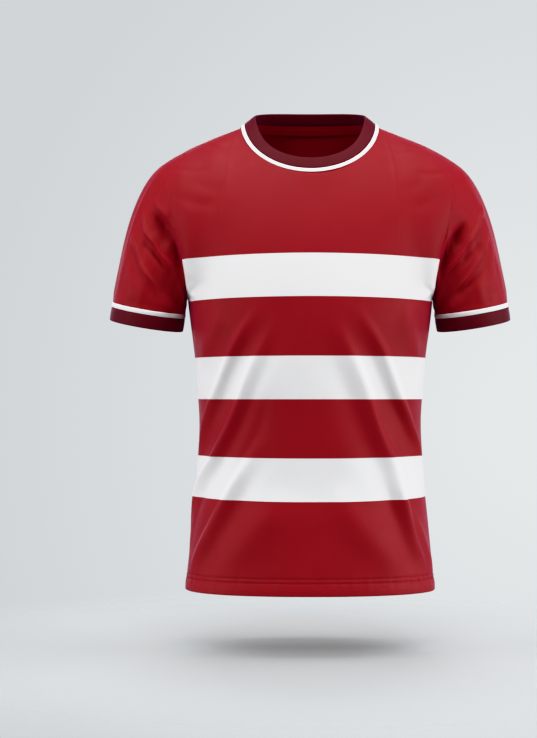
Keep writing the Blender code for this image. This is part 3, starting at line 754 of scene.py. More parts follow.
def body_panel(back):
    """The front or the back, from its hem to its neck and shoulder seams."""
    places, heights = body_places(back), body_heights()
    turns = 2 - places if back else places
    body, yoke = ring_point(turns, heights[:, None]), yoke_grid(places, yoke_shares()[1:], back)
    fill_out(yoke, places, yoke_shares()[1:])
    panel = Panel(np.concatenate([body, yoke]), False)
    # Two panels meet a sleeve at the underarm and at the shoulder tip, so each has half a say there.
    for row in (len(heights) - 1, -1):
        panel.weights[row, [0, -1]] = 0.5
    return panel


def hem_lift(above, run):
    """The hem's form: dips at its stitches, a roll below them and puckers along them."""
    roll = HEM_ROLL * dip(above - HEM_ROLL_MIDDLE, HEM_ROLL_REACH)
    dips = sum(HEM_STITCH_DIP * dip(above - row, HEM_STITCH_REACH) for row in HEM_STITCH_ROWS)
    puckers = sum(np.sin(2 * math.pi * run / pucker.length + pucker.phase) for pucker in PUCKERS)
    return roll - dips + PUCKER_DEPTH * puckers * dip(above - HEM_STITCH_ROWS[0], PUCKER_REACH)


def lift_body(panel, back):
    """Creases, slow waves and the hem's form. They reach both panels alike at the side seams."""
    places = body_places(back)[None, :]
    turns = (2 - places if back else places) + np.zeros(panel.points.shape[:2])
    height = panel.points[..., 2]
    lift = crease_lift(BODY_CREASES, turns, height, QUARTER_GIRTH, 1)
    inside = smooth_step(0, WAVE_FROM_SIDE, from_both_ends(run_along(panel.points, 1), 1))
    lift = lift + wave_lift(turns, height) * inside * smooth_step(0, WAVE_FROM_TOP, -height)
    above = height - HEM_HEIGHT
    panel.lift(lift + np.where(above < HEM_FORM_HEIGHT, hem_lift(above, turns * QUARTER_GIRTH), 0))


def sink_seams(panel):
    """Lets the cloth dip towards its seams: at a body panel's sides and top, and at a sleeve's ends."""
    run = run_along(panel.points, 0)
    if panel.closed:
        near = from_both_ends(run, 0)
    else:
        near = np.minimum(from_both_ends(run_along(panel.points, 1), 1), run[-1] - run)
    panel.points = panel.points - panel.normals * (SEAM_DIP * dip(near, SEAM_REACH))[..., None]


def sleeve_frame(side):
    """Unit vectors at a sleeve's end: outwards across it, forwards across it, and down along it."""
    out = np.array([side * math.cos(CUFF_TILT), 0, math.sin(CUFF_TILT)])
    ahead = np.array([0, -math.cos(CUFF_DIP), -math.sin(CUFF_DIP)])
    return out, ahead, side * unit(np.cross(out, ahead))


def sleeve_ring(side, laps, above):
    """Points and outward directions round a sleeve's end, at a height above the cuff's lower edge."""
    out, ahead, down = sleeve_frame(side)
    laps = laps[:, None]
    outward = unit(np.sin(math.pi * laps) * ahead - np.cos(math.pi * laps) * out)
    centre = np.array(CUFF_CENTRE) * (side, 1, 1) - down * above
    return centre + CUFF_RADIUS * outward, outward


def sleeve_laps(side):
    """The laps of a sleeve's columns, from the underarm round the front, or on +X round the back."""
    shares = yoke_shares()
    laps = np.concatenate([shares, 2 - shares[-2:0:-1]])
    return laps if side < 0 else (2 - laps) % 2


def sleeve_panel(side, rising, falling):
    """A sleeve from the armhole, whose two edges rise to the shoulder tip and fall to the underarm.

    Each edge comes as the two outermost columns of its yoke, so that the cloth flows on over the shoulder.
    """
    start, before = (np.concatenate([rising[:, index], falling[-2:0:-1, index]]) for index in (0, 1))
    laps = sleeve_laps(side)
    above = CUFF_HEIGHT + STRIPE_HEIGHT + 2 * CAD_GAP
    end = sleeve_ring(side, laps, above)[0]
    length = np.linalg.norm(end - start, axis=-1, keepdims=True)
    share = 1 - np.abs(1 - laps)
    out, down = read(DEPARTURES, "share", "out", share), read(DEPARTURES, "share", "down", share)
    flow = smooth_step(*SLEEVE_FLOW, share)[:, None]
    leave = unit(point(side * out, 0, -down)) * (1 - flow) + unit(start - before) * flow
    leave = unit(leave) * length * SLEEVE_LEAVE
    arrive = sleeve_frame(side)[2] * length * SLEEVE_ARRIVE
    half = to_seam(0.5, SLEEVE_LENGTH, HALF_SLEEVE_STEPS)
    along = np.concatenate([1 - half[::-1], [0.5], half])[:, None]
    panel = Panel(hermite(start, leave, end, arrive, along[..., None]), True)
    creases = LEFT_SLEEVE_CREASES if side < 0 else RIGHT_SLEEVE_CREASES
    lift = crease_lift(creases, 2 * laps[None, :], along, SLEEVE_TURN_LENGTH, SLEEVE_LENGTH)
    lift = lift + wave_lift(math.pi * laps[None, :], along * SLEEVE_LENGTH)
    panel.lift(lift * window(along, SLEEVE_RISE, SLEEVE_FALL))
    return panel


@lru_cache(maxsize=None)
def cut_panels():
    """The four big panels, worked out once and read by the pieces that are sewn to them."""
    front, back = body_panel(False), body_panel(True)
    share_normals([front, back])
    lift_body(front, False)
    lift_body(back, True)
    yoke = slice(len(body_heights()) - 1, None)
    low, high = [0, len(NEAR_SEAM)], [-1, -1 - len(NEAR_SEAM)]
    left = sleeve_panel(-1, front.points[yoke][:, low], back.points[yoke][:, high])
    right = sleeve_panel(1, back.points[yoke][:, low], front.points[yoke][:, high])
    panels = {"front": front, "back": back, "left": left, "right": right}
    share_normals(panels.values())
    for panel in panels.values():
        sink_seams(panel)
        panel.draw_in()
    return panels


# Meshes


def add_object(name, vertices, faces, uvs, material, node=None, slot=None):
    """A smooth mesh with its cloth coordinates in metres. It rides on the root and stands for its node."""
    mesh = bpy.data.meshes.new(name)
    mesh.from_pydata(vertices.reshape(-1, 3).tolist(), [], faces)
    layer = mesh.uv_layers.new(name="cloth")
    layer.data.foreach_set("uv", np.asarray(uvs, float).ravel())
    mesh.shade_smooth()
    mesh.set_sharp_from_angle(angle=SHARPEST_FOLD)
    mesh.materials.append(material)
    piece = bpy.data.objects.new(name, mesh)
    bpy.context.scene.collection.objects.link(piece)
    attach(piece, "root")
    if node:
        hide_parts(node)
    return piece


def cell_corners(grid, turned=False):
    """The four corners of each cell of a grid, along its rows first or, turned, up its columns first."""
    corners = [grid[:-1, :-1], grid[:-1, 1:], grid[1:, 1:], grid[1:, :-1]]
    return np.stack(corners[:1] + corners[:0:-1] if turned else corners, axis=2)


def cloth_loop(outer, inner):
    """The rows of a piece as one loop: up its outer face, over the end, down its inner face, and round."""

    def over(row, before):
        half = np.linalg.norm(outer[row] - inner[row], axis=-1, keepdims=True) / 2
        out = unit(outer[row] - outer[before])
        return [(outer[row] + inner[row]) / 2 + out * half * EDGE_ROUNDNESS]

    return np.concatenate([outer, over(-1, -2), inner[::-1], over(0, 1)])


def add_cloth(name, outer, inner, material, closed=False, **placing):
    """A piece of cloth between two grids of points that face each other, with its end rows rounded."""
    rows, columns = outer.shape[:2]
    loop = cloth_loop(outer, inner)
    run_across = run_along(np.concatenate([outer, outer[:, :1]], axis=1) if closed else outer, 1)
    run_up = run_along(outer, 0)
    if closed:
        run_up = np.concatenate([run_up, run_up[:, :1]], axis=1)
    else:
        run_across = run_across - run_across[:, columns // 2, None]
    cloth = np.stack([run_across, run_up], axis=-1)
    cloth = np.concatenate([cloth, cloth[-1:], cloth[::-1], cloth[:1], cloth[:1]])
    index = np.arange(len(loop) * columns).reshape(-1, columns)
    index = np.pad(index, ((0, 1), (0, int(closed))), mode="wrap")
    faces = cell_corners(index).reshape(-1, 4).tolist()
    uvs = cell_corners(cloth).reshape(-1, 2).tolist()
    if not closed:  # the side edges
        rim = [[row, row + 1, 2 * rows - row - 1, 2 * rows - row] for row in range(rows - 1)]
        rim += [[rows - 1, rows, rows + 1], [2 * rows, 2 * rows + 1, 0]]
        for column, order in ((0, 1), (-1, -1)):
            for corners in rim:
                faces.append(index[corners[::order], column].tolist())
                uvs += cloth[corners[::order], column].tolist()
    return add_object(name, loop, faces, uvs, material, **placing)


def trim_section(start, height, cloth, crown, top_round=True):
    """A trim's section as (along, out) points: up its crowned outer face, over the end, down inside."""
    share = np.linspace(0, 1, TRIM_STEPS + 1)
    outer = [(start + height * s, PROUD + crown * 4 * s * (1 - s)) for s in share]
    inner = [(start + height * s, PROUD - cloth) for s in share[::-1]]
    half, soft, over = cloth / 2, TRIM_SOFTNESS * cloth, []
    if top_round:
        corner = min(half, height * TRIM_CORNER)
        end = start + height - corner
        outer[-1], inner[0] = (end, PROUD), (end, PROUD - cloth)
        angles = np.linspace(0, math.pi, TRIM_END_STEPS + 1)[1:-1]
        over = [(end + corner * math.sin(angle), PROUD - half + half * math.cos(angle)) for angle in angles]
    outer[0], inner[-1] = (start + soft, PROUD), (start + soft, PROUD - cloth)
    return outer + over + inner + [(start, PROUD - cloth + soft), (start, PROUD - soft)]


def add_trim(name, line, along, out, section, material, **placing):
    """A closed band whose section is carried round a line, in the directions given at its points."""
    vertices = np.stack([line + along * place + out * height for place, height in section], axis=1)
    count, corners = vertices.shape[:2]
    index = np.pad(np.arange(count * corners).reshape(count, corners), ((0, 1), (0, 1)), mode="wrap")
    runs = [run_along(np.concatenate([path, path[:1]]), 0) for path in (line, np.array(section))]
    cloth = np.stack(np.meshgrid(*runs, indexing="ij"), axis=-1)
    faces = cell_corners(index, turned=True).reshape(-1, 4).tolist()
    return add_object(name, vertices, faces, cell_corners(cloth, turned=True), material, **placing)


def line_with(piece, facing, section):
    """Gives a trim's inner side the cloth that faces it."""
    piece.data.materials.append(facing)
    heights = [height for _, height in section]
    inside = [min(pair) < 0 for pair in zip(heights, heights[1:] + heights[:1])]
    for polygon in piece.data.polygons:
        polygon.material_index = int(inside[polygon.index % len(inside)])


def add_stitches(name, line, normals, material):
    """A row of thread along a line on the cloth: each stitch a short bowed strand that dips at its ends."""
    run = run_along(line, 0)
    count = int((run[-1] - STITCH_PITCH) / STITCH_PITCH)
    starts = (run[-1] - count * STITCH_PITCH) / 2 + np.arange(count) * STITCH_PITCH
    share = np.linspace(0, 1, STITCH_RINGS)
    at = starts[:, None] + (STITCH_PITCH - STITCH_LENGTH) / 2 + STITCH_LENGTH * share[None, :]
    centre = np.stack([np.interp(at, run, line[:, axis]) for axis in range(3)], axis=-1)
    out = unit(np.stack([np.interp(at, run, normals[:, axis]) for axis in range(3)], axis=-1))
    forward = unit(centre[:, -1:] - centre[:, :1]) + np.zeros_like(centre)
    aside = unit(np.cross(out, forward))
    bow = np.sin(math.pi * share)
    thick = STITCH_THREAD * (1 - STITCH_TAPER + STITCH_TAPER * bow)
    centre = centre + out * (STITCH_THREAD * (STITCH_RISE * bow - STITCH_SINK))[None, :, None]
    angles = np.arange(STITCH_SIDES) * 2 * math.pi / STITCH_SIDES
    round_it = aside[:, :, None] * np.cos(angles)[:, None] + out[:, :, None] * np.sin(angles)[:, None]
    vertices = centre[:, :, None] + round_it * thick[None, :, None, None]
    index = np.arange(STITCH_RINGS * STITCH_SIDES).reshape(STITCH_RINGS, STITCH_SIDES)
    walls = cell_corners(np.pad(index, ((0, 0), (0, 1)), mode="wrap"), turned=True).reshape(-1, 4)
    stitch = walls.tolist() + [index[0].tolist(), index[-1, ::-1].tolist()]
    firsts = index.size * np.arange(count)
    faces = [[first + corner for corner in face] for first in firsts for face in stitch]
    uvs = np.zeros((sum(len(face) for face in faces), 2))
    return add_object(name, vertices, faces, uvs, material, slot="body_cloth")


# Shader maths


class Wire:
    """A value in a node tree, on which Python's operators add the shader's Math nodes."""

    def __init__(self, nodes, socket):
        self.nodes, self.socket = nodes, socket

    def maths(self, operation, *values):
        return self.nodes.add("ShaderNodeMath", {"operation": operation}, dict(enumerate(values)))

    def __add__(self, other):
        return self.maths("ADD", self, other)

    def __radd__(self, other):
        return self.maths("ADD", other, self)

    def __sub__(self, other):
        return self.maths("SUBTRACT", self, other)

    def __rsub__(self, other):
        return self.maths("SUBTRACT", other, self)

    def __mul__(self, other):
        return self.maths("MULTIPLY", self, other)

    def __rmul__(self, other):
        return self.maths("MULTIPLY", other, self)

    def __truediv__(self, other):
        return self.maths("DIVIDE", self, other)

    def __abs__(self):
        return self.maths("ABSOLUTE", self)

    def sine(self):
        return self.maths("SINE", self)

    def part(self):
        """What is left of the value past its last whole number."""
        return self.maths("FRACT", self)

    def lesser(self, other):
        return self.maths("MINIMUM", self, other)

    def clamped(self):
        return self.nodes.add("ShaderNodeClamp", {}, {"Value": self})


class Nodes:
    """A node tree, with the one method that adds its nodes."""

    def __init__(self, tree):
        self.tree = tree

    def add(self, kind, settings, inputs, output=0):
        """A node of a type, with its settings first and then the values or links of its sockets."""
        made = self.tree.nodes.new(kind)
        for name, value in settings.items():
            setattr(made, name, value)
        for name, value in inputs.items():
            self.feed(made.inputs[name], value)
        return Wire(self, made.outputs[output])

    def feed(self, socket, value):
        if isinstance(value, Wire):
            self.tree.links.new(value.socket, socket)
        else:
            socket.default_value = value

    def place(self):
        """The place on the object, in metres from its origin."""
        return self.add("ShaderNodeTexCoord", {}, {}, output="Object")

    def axes(self, vector, *chosen):
        """The chosen coordinates of a vector."""
        return [self.add("ShaderNodeSeparateXYZ", {}, {0: vector}, output=axis) for axis in chosen]

    def blend(self, factor, first, second):
        """Two colours mixed by a factor. A Mix node takes colours on sockets 6 and 7, and gives one on 2."""
        fed = {"Factor": factor, 6: first, 7: second}
        return self.add("ShaderNodeMix", {"data_type": "RGBA"}, fed, output=2)

    def drift(self, scale, detail, roughness):
        """Slow uneven variation over the object, about 0 to 1."""
        fed = {"Vector": self.place(), "Scale": scale, "Detail": detail, "Roughness": roughness}
        return self.add("ShaderNodeTexNoise", {}, fed)


class Finish(Nodes):
    """A material, whose shader takes its values by name."""

    def __init__(self, name):
        self.material = bpy.data.materials.new(name)
        self.material.use_nodes = True
        super().__init__(self.material.node_tree)

    def set(self, **values):
        """Values on the shader's own sockets, named with underscores for spaces."""
        for name, value in values.items():
            self.feed(self.tree.nodes["Principled BSDF"].inputs[name.replace("_", " ")], value)


def colour(value, factor=1.0):
    """A colour for a node, made darker or lighter by a factor."""
    return (*(channel * factor for channel in value[:3]), 1.0)


def knit_height(finish, wale, slant):
    """Knit cloth's relief, from 0 in the grooves to 1 on the loops: wales of loops that meet in Vs."""
    uv = finish.add("ShaderNodeUVMap", {"uv_map": "cloth"}, {})
    across, along = finish.axes(uv, 0, 1)
    in_wale = abs((across / wale).part() * 2 - 1)
    loop = ((along / COURSE + in_wale * slant) * (2 * math.pi)).sine() * 0.5 + 0.5
    return (in_wale * math.pi).sine() * (loop * LOOP_DEPTH + (1 - LOOP_DEPTH))


def band_mask(finish, band_height, pitch):
    """1 in the bands across the body and 0 between them."""
    across, height = finish.axes(finish.place(), 0, 2)
    height = height + (height - BAND_LEVEL) * across * across * BAND_BOW
    middles = [BAND_TOP - band_height / 2 - index * pitch for index in range(BAND_COUNT)]
    nearest = reduce(Wire.lesser, (abs(height - middle) for middle in middles))
    return ((band_height / 2 - nearest) / BAND_BLUR + 0.5).clamped()


def knit_cloth(name, yarn, rib=None, bands=None, gloss=None):
    """Fine knit, or a rib with wales of a width: grooves darkened with painted shade, loops in relief and a
    soft sheen.
    """
    looks = bpy.context.scene.jersey_finish
    finish = Finish(name)
    knit = knit_height(finish, rib or looks.wale, 0.0 if rib else LOOP_SLANT)
    uneven = finish.drift(scale=26.0, detail=3.0, roughness=0.6)
    base = finish.blend(uneven, colour(yarn, 1 - looks.unevenness), colour(yarn, 1 + looks.unevenness))
    # Painted shade: the grooves take a darker copy of the yarn's colour, or a near-black red in the bands
    dark = colour(yarn, GROOVE_PAINTED_SHADE)
    if bands is not None:
        band = finish.blend(uneven, colour(bands, 1 - looks.unevenness / BAND_EVENNESS), colour(bands))
        mask = band_mask(finish, looks.band_height, looks.band_pitch)
        base, dark = finish.blend(mask, base, band), STRIPED_GROOVE_PAINTED_SHADE
    # The painted shade is laid into the grooves by their depth in the knit's relief
    base = finish.blend((1 - knit) * looks.painted_groove_shade, base, dark)
    relief = {"Strength": looks.relief, "Distance": KNIT_RELIEF, "Height": knit}
    bump = finish.add("ShaderNodeBump", {}, relief)
    rough = finish.drift(scale=60.0, detail=2.0, roughness=0.5) * ROUGHNESS_SPREAD
    finish.set(Base_Color=base, Roughness=rough + (looks.roughness - ROUGHNESS_SPREAD / 2), Normal=bump)
    finish.set(Specular_IOR_Level=looks.gloss if gloss is None else gloss)
    finish.set(Sheen_Weight=looks.sheen, Sheen_Roughness=SHEEN_ROUGHNESS)
    finish.set(Sheen_Tint=colour(looks.sheen_tint))
    return finish.material


def thread(name, yarn):
    """Glossy sewing thread, lighter and darker along its length."""
    finish = Finish(name)
    uneven = finish.drift(scale=900.0, detail=2.0, roughness=0.5)
    base = finish.blend(uneven, *(colour(yarn, factor) for factor in THREAD_RANGE))
    finish.set(Base_Color=base, Roughness=0.55, Sheen_Weight=0.2, Sheen_Roughness=0.4)
    return finish.material


# What a user would change

COLOUR = {"subtype": "COLOR", "size": 3, "min": 0, "max": 1}
SHARE = {"subtype": "FACTOR", "min": 0, "max": 1}
SMALL_LENGTH = {"unit": "LENGTH", "min": 0.0001, "precision": 5}
FLOOR_DROP = 0.0925


class JERSEY_PG_finish(bpy.types.PropertyGroup):
    band_height: FloatProperty(
        name="Band height", description="Height of each band across the body", default=0.0640, **SMALL_LENGTH
    )
    band_pitch: FloatProperty(
        name="Band pitch", description="Distance from one band to the next", default=0.1515, **SMALL_LENGTH
    )
    wale: FloatProperty(
        name="Wale", description="Width of a wale of the body's knit", default=0.00115, **SMALL_LENGTH
    )
    red: FloatVectorProperty(
        name="Body", description="Colour of the body and sleeves",
        default=(0.246, 0.0062, 0.0100), **COLOUR,
    )
    white: FloatVectorProperty(
        name="Bands", description="Colour of the body bands, the collar edge and the cuff stripes",
        default=(0.765, 0.765, 0.77), **COLOUR,
    )
    burgundy: FloatVectorProperty(
        name="Collar and cuffs", description="Colour of the collar band and the cuffs",
        default=(0.089, 0.0078, 0.0118), **COLOUR,
    )
    sheen_tint: FloatVectorProperty(
        name="Sheen tint", description="Colour of the nap's sheen",
        default=(1.0, 0.52, 1.0), **COLOUR,
    )
    sheen: FloatProperty(name="Sheen", description="Strength of the nap's sheen", default=0.14, **SHARE)
    gloss: FloatProperty(name="Gloss", description="Strength of the yarn's gloss", default=0.30, **SHARE)
    rib_gloss: FloatProperty(
        name="Rib gloss", description="Strength of the gloss on the collar band and cuffs",
        default=0.20, **SHARE,
    )
    roughness: FloatProperty(name="Roughness", description="Roughness of the yarn", default=0.62, **SHARE)
    relief: FloatProperty(name="Relief", description="Strength of the knit's relief", default=0.55, **SHARE)
    # How far painted shade darkens the knit's grooves
    painted_groove_shade: FloatProperty(name="Grooves", description="Darkness of the grooves", default=0.16, **SHARE)
    unevenness: FloatProperty(
        name="Unevenness", description="Slow variation of the colour", default=0.06, **SHARE
    )


class JERSEY_PG_stage(bpy.types.PropertyGroup):
    floor_height: FloatProperty(
        name="Floor height",
        description="Height of the floor below the jersey",
        unit="LENGTH",
        default=HEM_HEIGHT - FLOOR_DROP,
    )
    floor: FloatVectorProperty(
        name="Floor", description="Colour of the floor",
        default=(0.66, 0.69, 0.70), **COLOUR,
    )
    backdrop: FloatVectorProperty(
        name="Backdrop", description="Colour of the backdrop on the left",
        default=(0.678, 0.705, 0.726), **COLOUR,
    )
    # The backdrop's right side, brightened by painted light
    backdrop_bright: FloatVectorProperty(
        name="Backdrop, bright", description="Colour of the backdrop's brighter right side",
        default=(0.86, 0.893, 0.901), **COLOUR,
    )
    ambient: FloatProperty(
        name="Ambient", description="Strength of the light from all round", default=0.30, min=0
    )


# Operators


class JERSEY_OT_body(bpy.types.Operator):
    """Front and back panels of striped knit, with their hems"""

    bl_idname = "jersey.body"
    bl_label = "Body panels"

    def execute(self, context):
        looks = context.scene.jersey_finish
        material = knit_cloth("striped_knit", looks.red, bands=looks.white)
        heights = body_heights()
        cloth = np.where(heights <= HEM_HEIGHT + HEM_DEPTH, HEM_CLOTH, CLOTH)
        cloth = np.concatenate([cloth, np.full(len(yoke_shares()) - 1, CLOTH)])
        for name in ("front", "back"):
            panel = cut_panels()[name]
            inner = panel.inner(cloth)
            piece = add_cloth(name + "_cloth", panel.points, inner, material, node=name, slot="body_cloth")
        return {"FINISHED"}


class JERSEY_OT_hem_stitches(bpy.types.Operator):
    """Twin rows of thread that hold the hem"""

    bl_idname = "jersey.hem_stitches"
    bl_label = "Hem stitches"

    def execute(self, context):
        material = thread("red_thread", colour(context.scene.jersey_finish.red, THREAD_SHADE))
        above = body_heights() - HEM_HEIGHT
        for name in ("front", "back"):
            panel = cut_panels()[name]
            for label, height in zip(("low", "high"), HEM_STITCH_ROWS):
                row = np.abs(above - height).argmin()
                stitches = f"hem_stitches_{name}_{label}"
                add_stitches(stitches, panel.points[row], panel.normals[row], material)
        return {"FINISHED"}


class JERSEY_OT_sleeves(bpy.types.Operator):
    """The two sleeves"""

    bl_idname = "jersey.sleeves"
    bl_label = "Sleeves"

    def execute(self, context):
        material = knit_cloth("red_knit", context.scene.jersey_finish.red)
        for name in ("left", "right"):
            panel = cut_panels()[name]
            node = "sleeve_" + name
            grids = (panel.points, panel.inner(CLOTH))
            piece = add_cloth(node + "_cloth", *grids, material, closed=True, node=node, slot="body_cloth")
        return {"FINISHED"}


class JERSEY_OT_collar(bpy.types.Operator):
    """The collar's white edge and dark folded band"""

    bl_idname = "jersey.collar"
    bl_label = "Collar"

    def execute(self, context):
        looks = context.scene.jersey_finish
        angles = np.arange(COLLAR_STEPS) * 2 * math.pi / COLLAR_STEPS
        seam = neck_point(angles)
        forward = unit(np.roll(seam, -1, axis=0) - np.roll(seam, 1, axis=0))
        ends = (1 + np.cos(2 * angles)) / 2
        end_lean = np.where(np.cos(angles) > 0, COLLAR_LEAN_FRONT, COLLAR_LEAN_BACK)
        lean = COLLAR_LEAN_SIDE + (end_lean - COLLAR_LEAN_SIDE) * ends
        outward = unit(np.cross(forward, [0, 0, 1]))
        rise = point(0, 0, np.cos(lean)) - outward * np.sin(lean)[:, None]
        rise = unit(rise - forward * np.sum(rise * forward, axis=1, keepdims=True))
        out = np.cross(forward, rise)
        edge_section = trim_section(0, COLLAR_EDGE_HEIGHT, COLLAR_CLOTH, EDGE_CROWN, top_round=False)
        band_start = COLLAR_EDGE_HEIGHT + SEAM_GAP
        band_section = trim_section(band_start, COLLAR_BAND_HEIGHT, COLLAR_CLOTH, BAND_CROWN)
        white = knit_cloth("white_rib", looks.white, rib=EDGE_WALE)
        dark = knit_cloth("dark_rib", looks.burgundy, rib=RIB_WALE, gloss=looks.rib_gloss)
        edge = add_trim(
            "collar_edge_cloth", seam, rise, out, edge_section, white, node="collar_edge", slot="edge_cloth"
        )
        line_with(edge, knit_cloth("red_facing", looks.red, rib=EDGE_WALE), edge_section)
        band = add_trim(
            "collar_band_cloth", seam, rise, out, band_section, dark, node="collar_band", slot="band_cloth"
        )
        return {"FINISHED"}


class JERSEY_OT_neck_tape(bpy.types.Operator):
    """The tape inside the back neck"""

    bl_idname = "jersey.neck_tape"
    bl_label = "Neck tape"

    def execute(self, context):
        looks = context.scene.jersey_finish
        back = cut_panels()["back"]
        rows = slice(-int(np.sum(yoke_shares() >= TAPE_SHARE)), None)
        neck = np.flatnonzero(np.abs(body_places(True)) <= NECK_TURN)
        outer, inner = (
            back.inner(CLOTH + CAD_GAP + depth)[rows, neck[0] : neck[-1] + 1] for depth in (0, TAPE_CLOTH)
        )
        material = knit_cloth("red_tape", looks.red, rib=TAPE_WALE)
        piece = add_cloth("neck_tape_cloth", outer, inner, material, node="neck_tape", slot="body_cloth")
        return {"FINISHED"}


class JERSEY_OT_sleeve_ends(bpy.types.Operator):
    """White stripes and dark cuffs at the sleeves' ends"""

    bl_idname = "jersey.sleeve_ends"
    bl_label = "Cuffs and stripes"

    def execute(self, context):
        looks = context.scene.jersey_finish
        white = knit_cloth("white_cuff_knit", looks.white, rib=EDGE_WALE)
        dark = knit_cloth("dark_cuff_rib", looks.burgundy, rib=RIB_WALE, gloss=looks.rib_gloss)
        laps = np.arange(CUFF_STEPS) * 2 / CUFF_STEPS
        stripe_section = trim_section(0, STRIPE_HEIGHT, CUFF_CLOTH, EDGE_CROWN, top_round=False)
        cuff_section = trim_section(0, CUFF_HEIGHT, CUFF_CLOTH, BAND_CROWN)
        for side, name in ((-1, "left"), (1, "right")):
            turned = laps if side < 0 else (2 - laps) % 2
            down = sleeve_frame(side)[2]
            line, outward = sleeve_ring(side, turned, CUFF_HEIGHT + CAD_GAP + STRIPE_HEIGHT)
            stripe = add_trim(
                f"cuff_stripe_{name}_cloth", line, down, outward, stripe_section, white,
                node="cuff_stripe_" + name, slot="edge_cloth",
            )
            line, outward = sleeve_ring(side, turned, CUFF_HEIGHT)
            cuff = add_trim(
                f"cuff_{name}_cloth", line, down, outward, cuff_section, dark,
                node="cuff_" + name, slot="band_cloth",
            )
        return {"FINISHED"}


# The studio


Lamp = namedtuple("Lamp", "name place aim size power on_floor")
LAMPS = (
    Lamp("key_left", (-1.6, -1.3, 1.7), (0, 0, -0.3), 1.2, 22.0, False),
    Lamp("key_right", (1.6, -1.3, 1.7), (0, 0, -0.3), 1.2, 9.0, False),
    Lamp("top", (0.0, -0.8, 2.2), (0, 0, -0.25), 1.2, 66.0, False),
    Lamp("flank_left", (-2.3, -0.95, -0.3), (0, 0, -0.35), 1.4, 39.0, False),
    Lamp("flank_right", (2.4, -0.9, -0.2), (0, 0, -0.35), 1.4, 62.0, False),
    Lamp("back_left", (-1.6, 2.4, 0.1), (0, 0, -0.35), 1.4, 12.0, False),
    Lamp("back_right", (1.6, 2.4, 0.1), (0, 0, -0.35), 1.4, 10.0, False),
    Lamp("back_middle", (0.0, 2.8, 0.6), (0, 0, -0.35), 1.6, 60.0, False),
    Lamp("floor_front", (0.0, -1.8, 0.35), (0, 0, -0.8), 1.6, 28.0, True),
    Lamp("floor_back", (0.0, 1.8, 0.35), (0, 0, -0.8), 1.6, 20.0, True),
    Lamp("floor_far", (0.0, 2.6, -0.1), (0, 0, -0.8), 2.0, 12.0, True),
    Lamp("floor_left", (-1.0, 0.0, 0.9), (0, 0, -0.8), 1.6, 8.0, True),
    Lamp("floor_right", (1.0, 0.0, 0.9), (0, 0, -0.8), 1.6, 12.0, True),
)

# The camera's place, the size of a pixel at the jersey, and the upward shift in pixels
CAMERA_DISTANCE = 2.8
CAMERA_SIDE = -0.0638
CAMERA_HEIGHT = -0.403
PIXEL = 0.001538
IMAGE_HEIGHT = 738
SHIFT_UP = 21
SENSOR = 36.0

# Backdrop and floor
AMBIENT_TINT = (0.96, 0.98, 1.0, 1.0)
# Where painted light makes the backdrop brightest, and how far its glow reaches
BACKDROP_GLOW = (0.16, 0.987, -0.016)
BACKDROP_REACH = 0.32
FLOOR_SIZE = 4.0
FLOOR_FADE = (0.38, 0.85)
FLOOR_GRAIN = 0.01


def look_at(place, aim):
    """The turn of a lamp at a place that faces its aim."""
    back = unit(np.array(place, float) - np.array(aim, float))
    right = unit(np.cross([0, 0, 1], back))
    up = np.cross(back, right)
    return [list(row) for row in np.stack([right, up, back], axis=1)]


def add_lamp(lamp, floor):
    """A square softbox. Those for the garment leave the floor to its own softboxes."""
    data = bpy.data.lights.new(lamp.name, "AREA")
    data.energy, data.size = lamp.power, lamp.size
    piece = bpy.data.objects.new(lamp.name, data)
    piece.matrix_world = Matrix.Translation(lamp.place) @ Matrix(look_at(lamp.place, lamp.aim)).to_4x4()
    bpy.context.scene.collection.objects.link(piece)
    lit = bpy.data.collections.new(lamp.name + "_lights")
    lit.objects.link(floor)
    piece.light_linking.receiver_collection = lit
    lit.collection_objects[0].light_linking.link_state = "INCLUDE" if lamp.on_floor else "EXCLUDE"


def add_camera():
    """A camera level with the chest, to one side, whose upright lines stay upright."""
    data = bpy.data.cameras.new("camera")
    data.sensor_width = SENSOR
    data.lens = SENSOR * CAMERA_DISTANCE / (IMAGE_HEIGHT * PIXEL)
    data.shift_y = SHIFT_UP / IMAGE_HEIGHT
    camera = bpy.data.objects.new("camera", data)
    camera.location = (CAMERA_SIDE, -CAMERA_DISTANCE, CAMERA_HEIGHT)
    camera.rotation_euler = (math.pi / 2, 0, 0)
    bpy.context.scene.collection.objects.link(camera)
    bpy.context.scene.camera = camera


def add_world(stage):
    """A pale backdrop, brighter towards its right with painted light, and a weaker even light on everything.
    """
    world = bpy.data.worlds.new("studio")
    world.use_nodes = True
    bpy.context.scene.world = world
    nodes = Nodes(world.node_tree)
    nodes.tree.nodes.remove(nodes.tree.nodes["Background"])
    away = nodes.add(
        "ShaderNodeVectorMath",
        {"operation": "DISTANCE"},
        {0: nodes.add("ShaderNodeTexCoord", {}, {}, output="Generated"), 1: BACKDROP_GLOW},
        output="Value",
    )
    spread = nodes.add("ShaderNodeMapRange", {}, {"Value": away, "From Max": BACKDROP_REACH})
    backdrop = nodes.blend(spread, colour(stage.backdrop_bright), colour(stage.backdrop))
    shown = nodes.add("ShaderNodeBackground", {}, {"Color": backdrop})
    lit = nodes.add("ShaderNodeBackground", {}, {"Color": AMBIENT_TINT, "Strength": stage.ambient})
    seen = nodes.add("ShaderNodeLightPath", {}, {})
    both = nodes.add("ShaderNodeMixShader", {}, {0: seen, 1: lit, 2: shown})
    nodes.feed(nodes.tree.nodes["World Output"].inputs["Surface"], both)


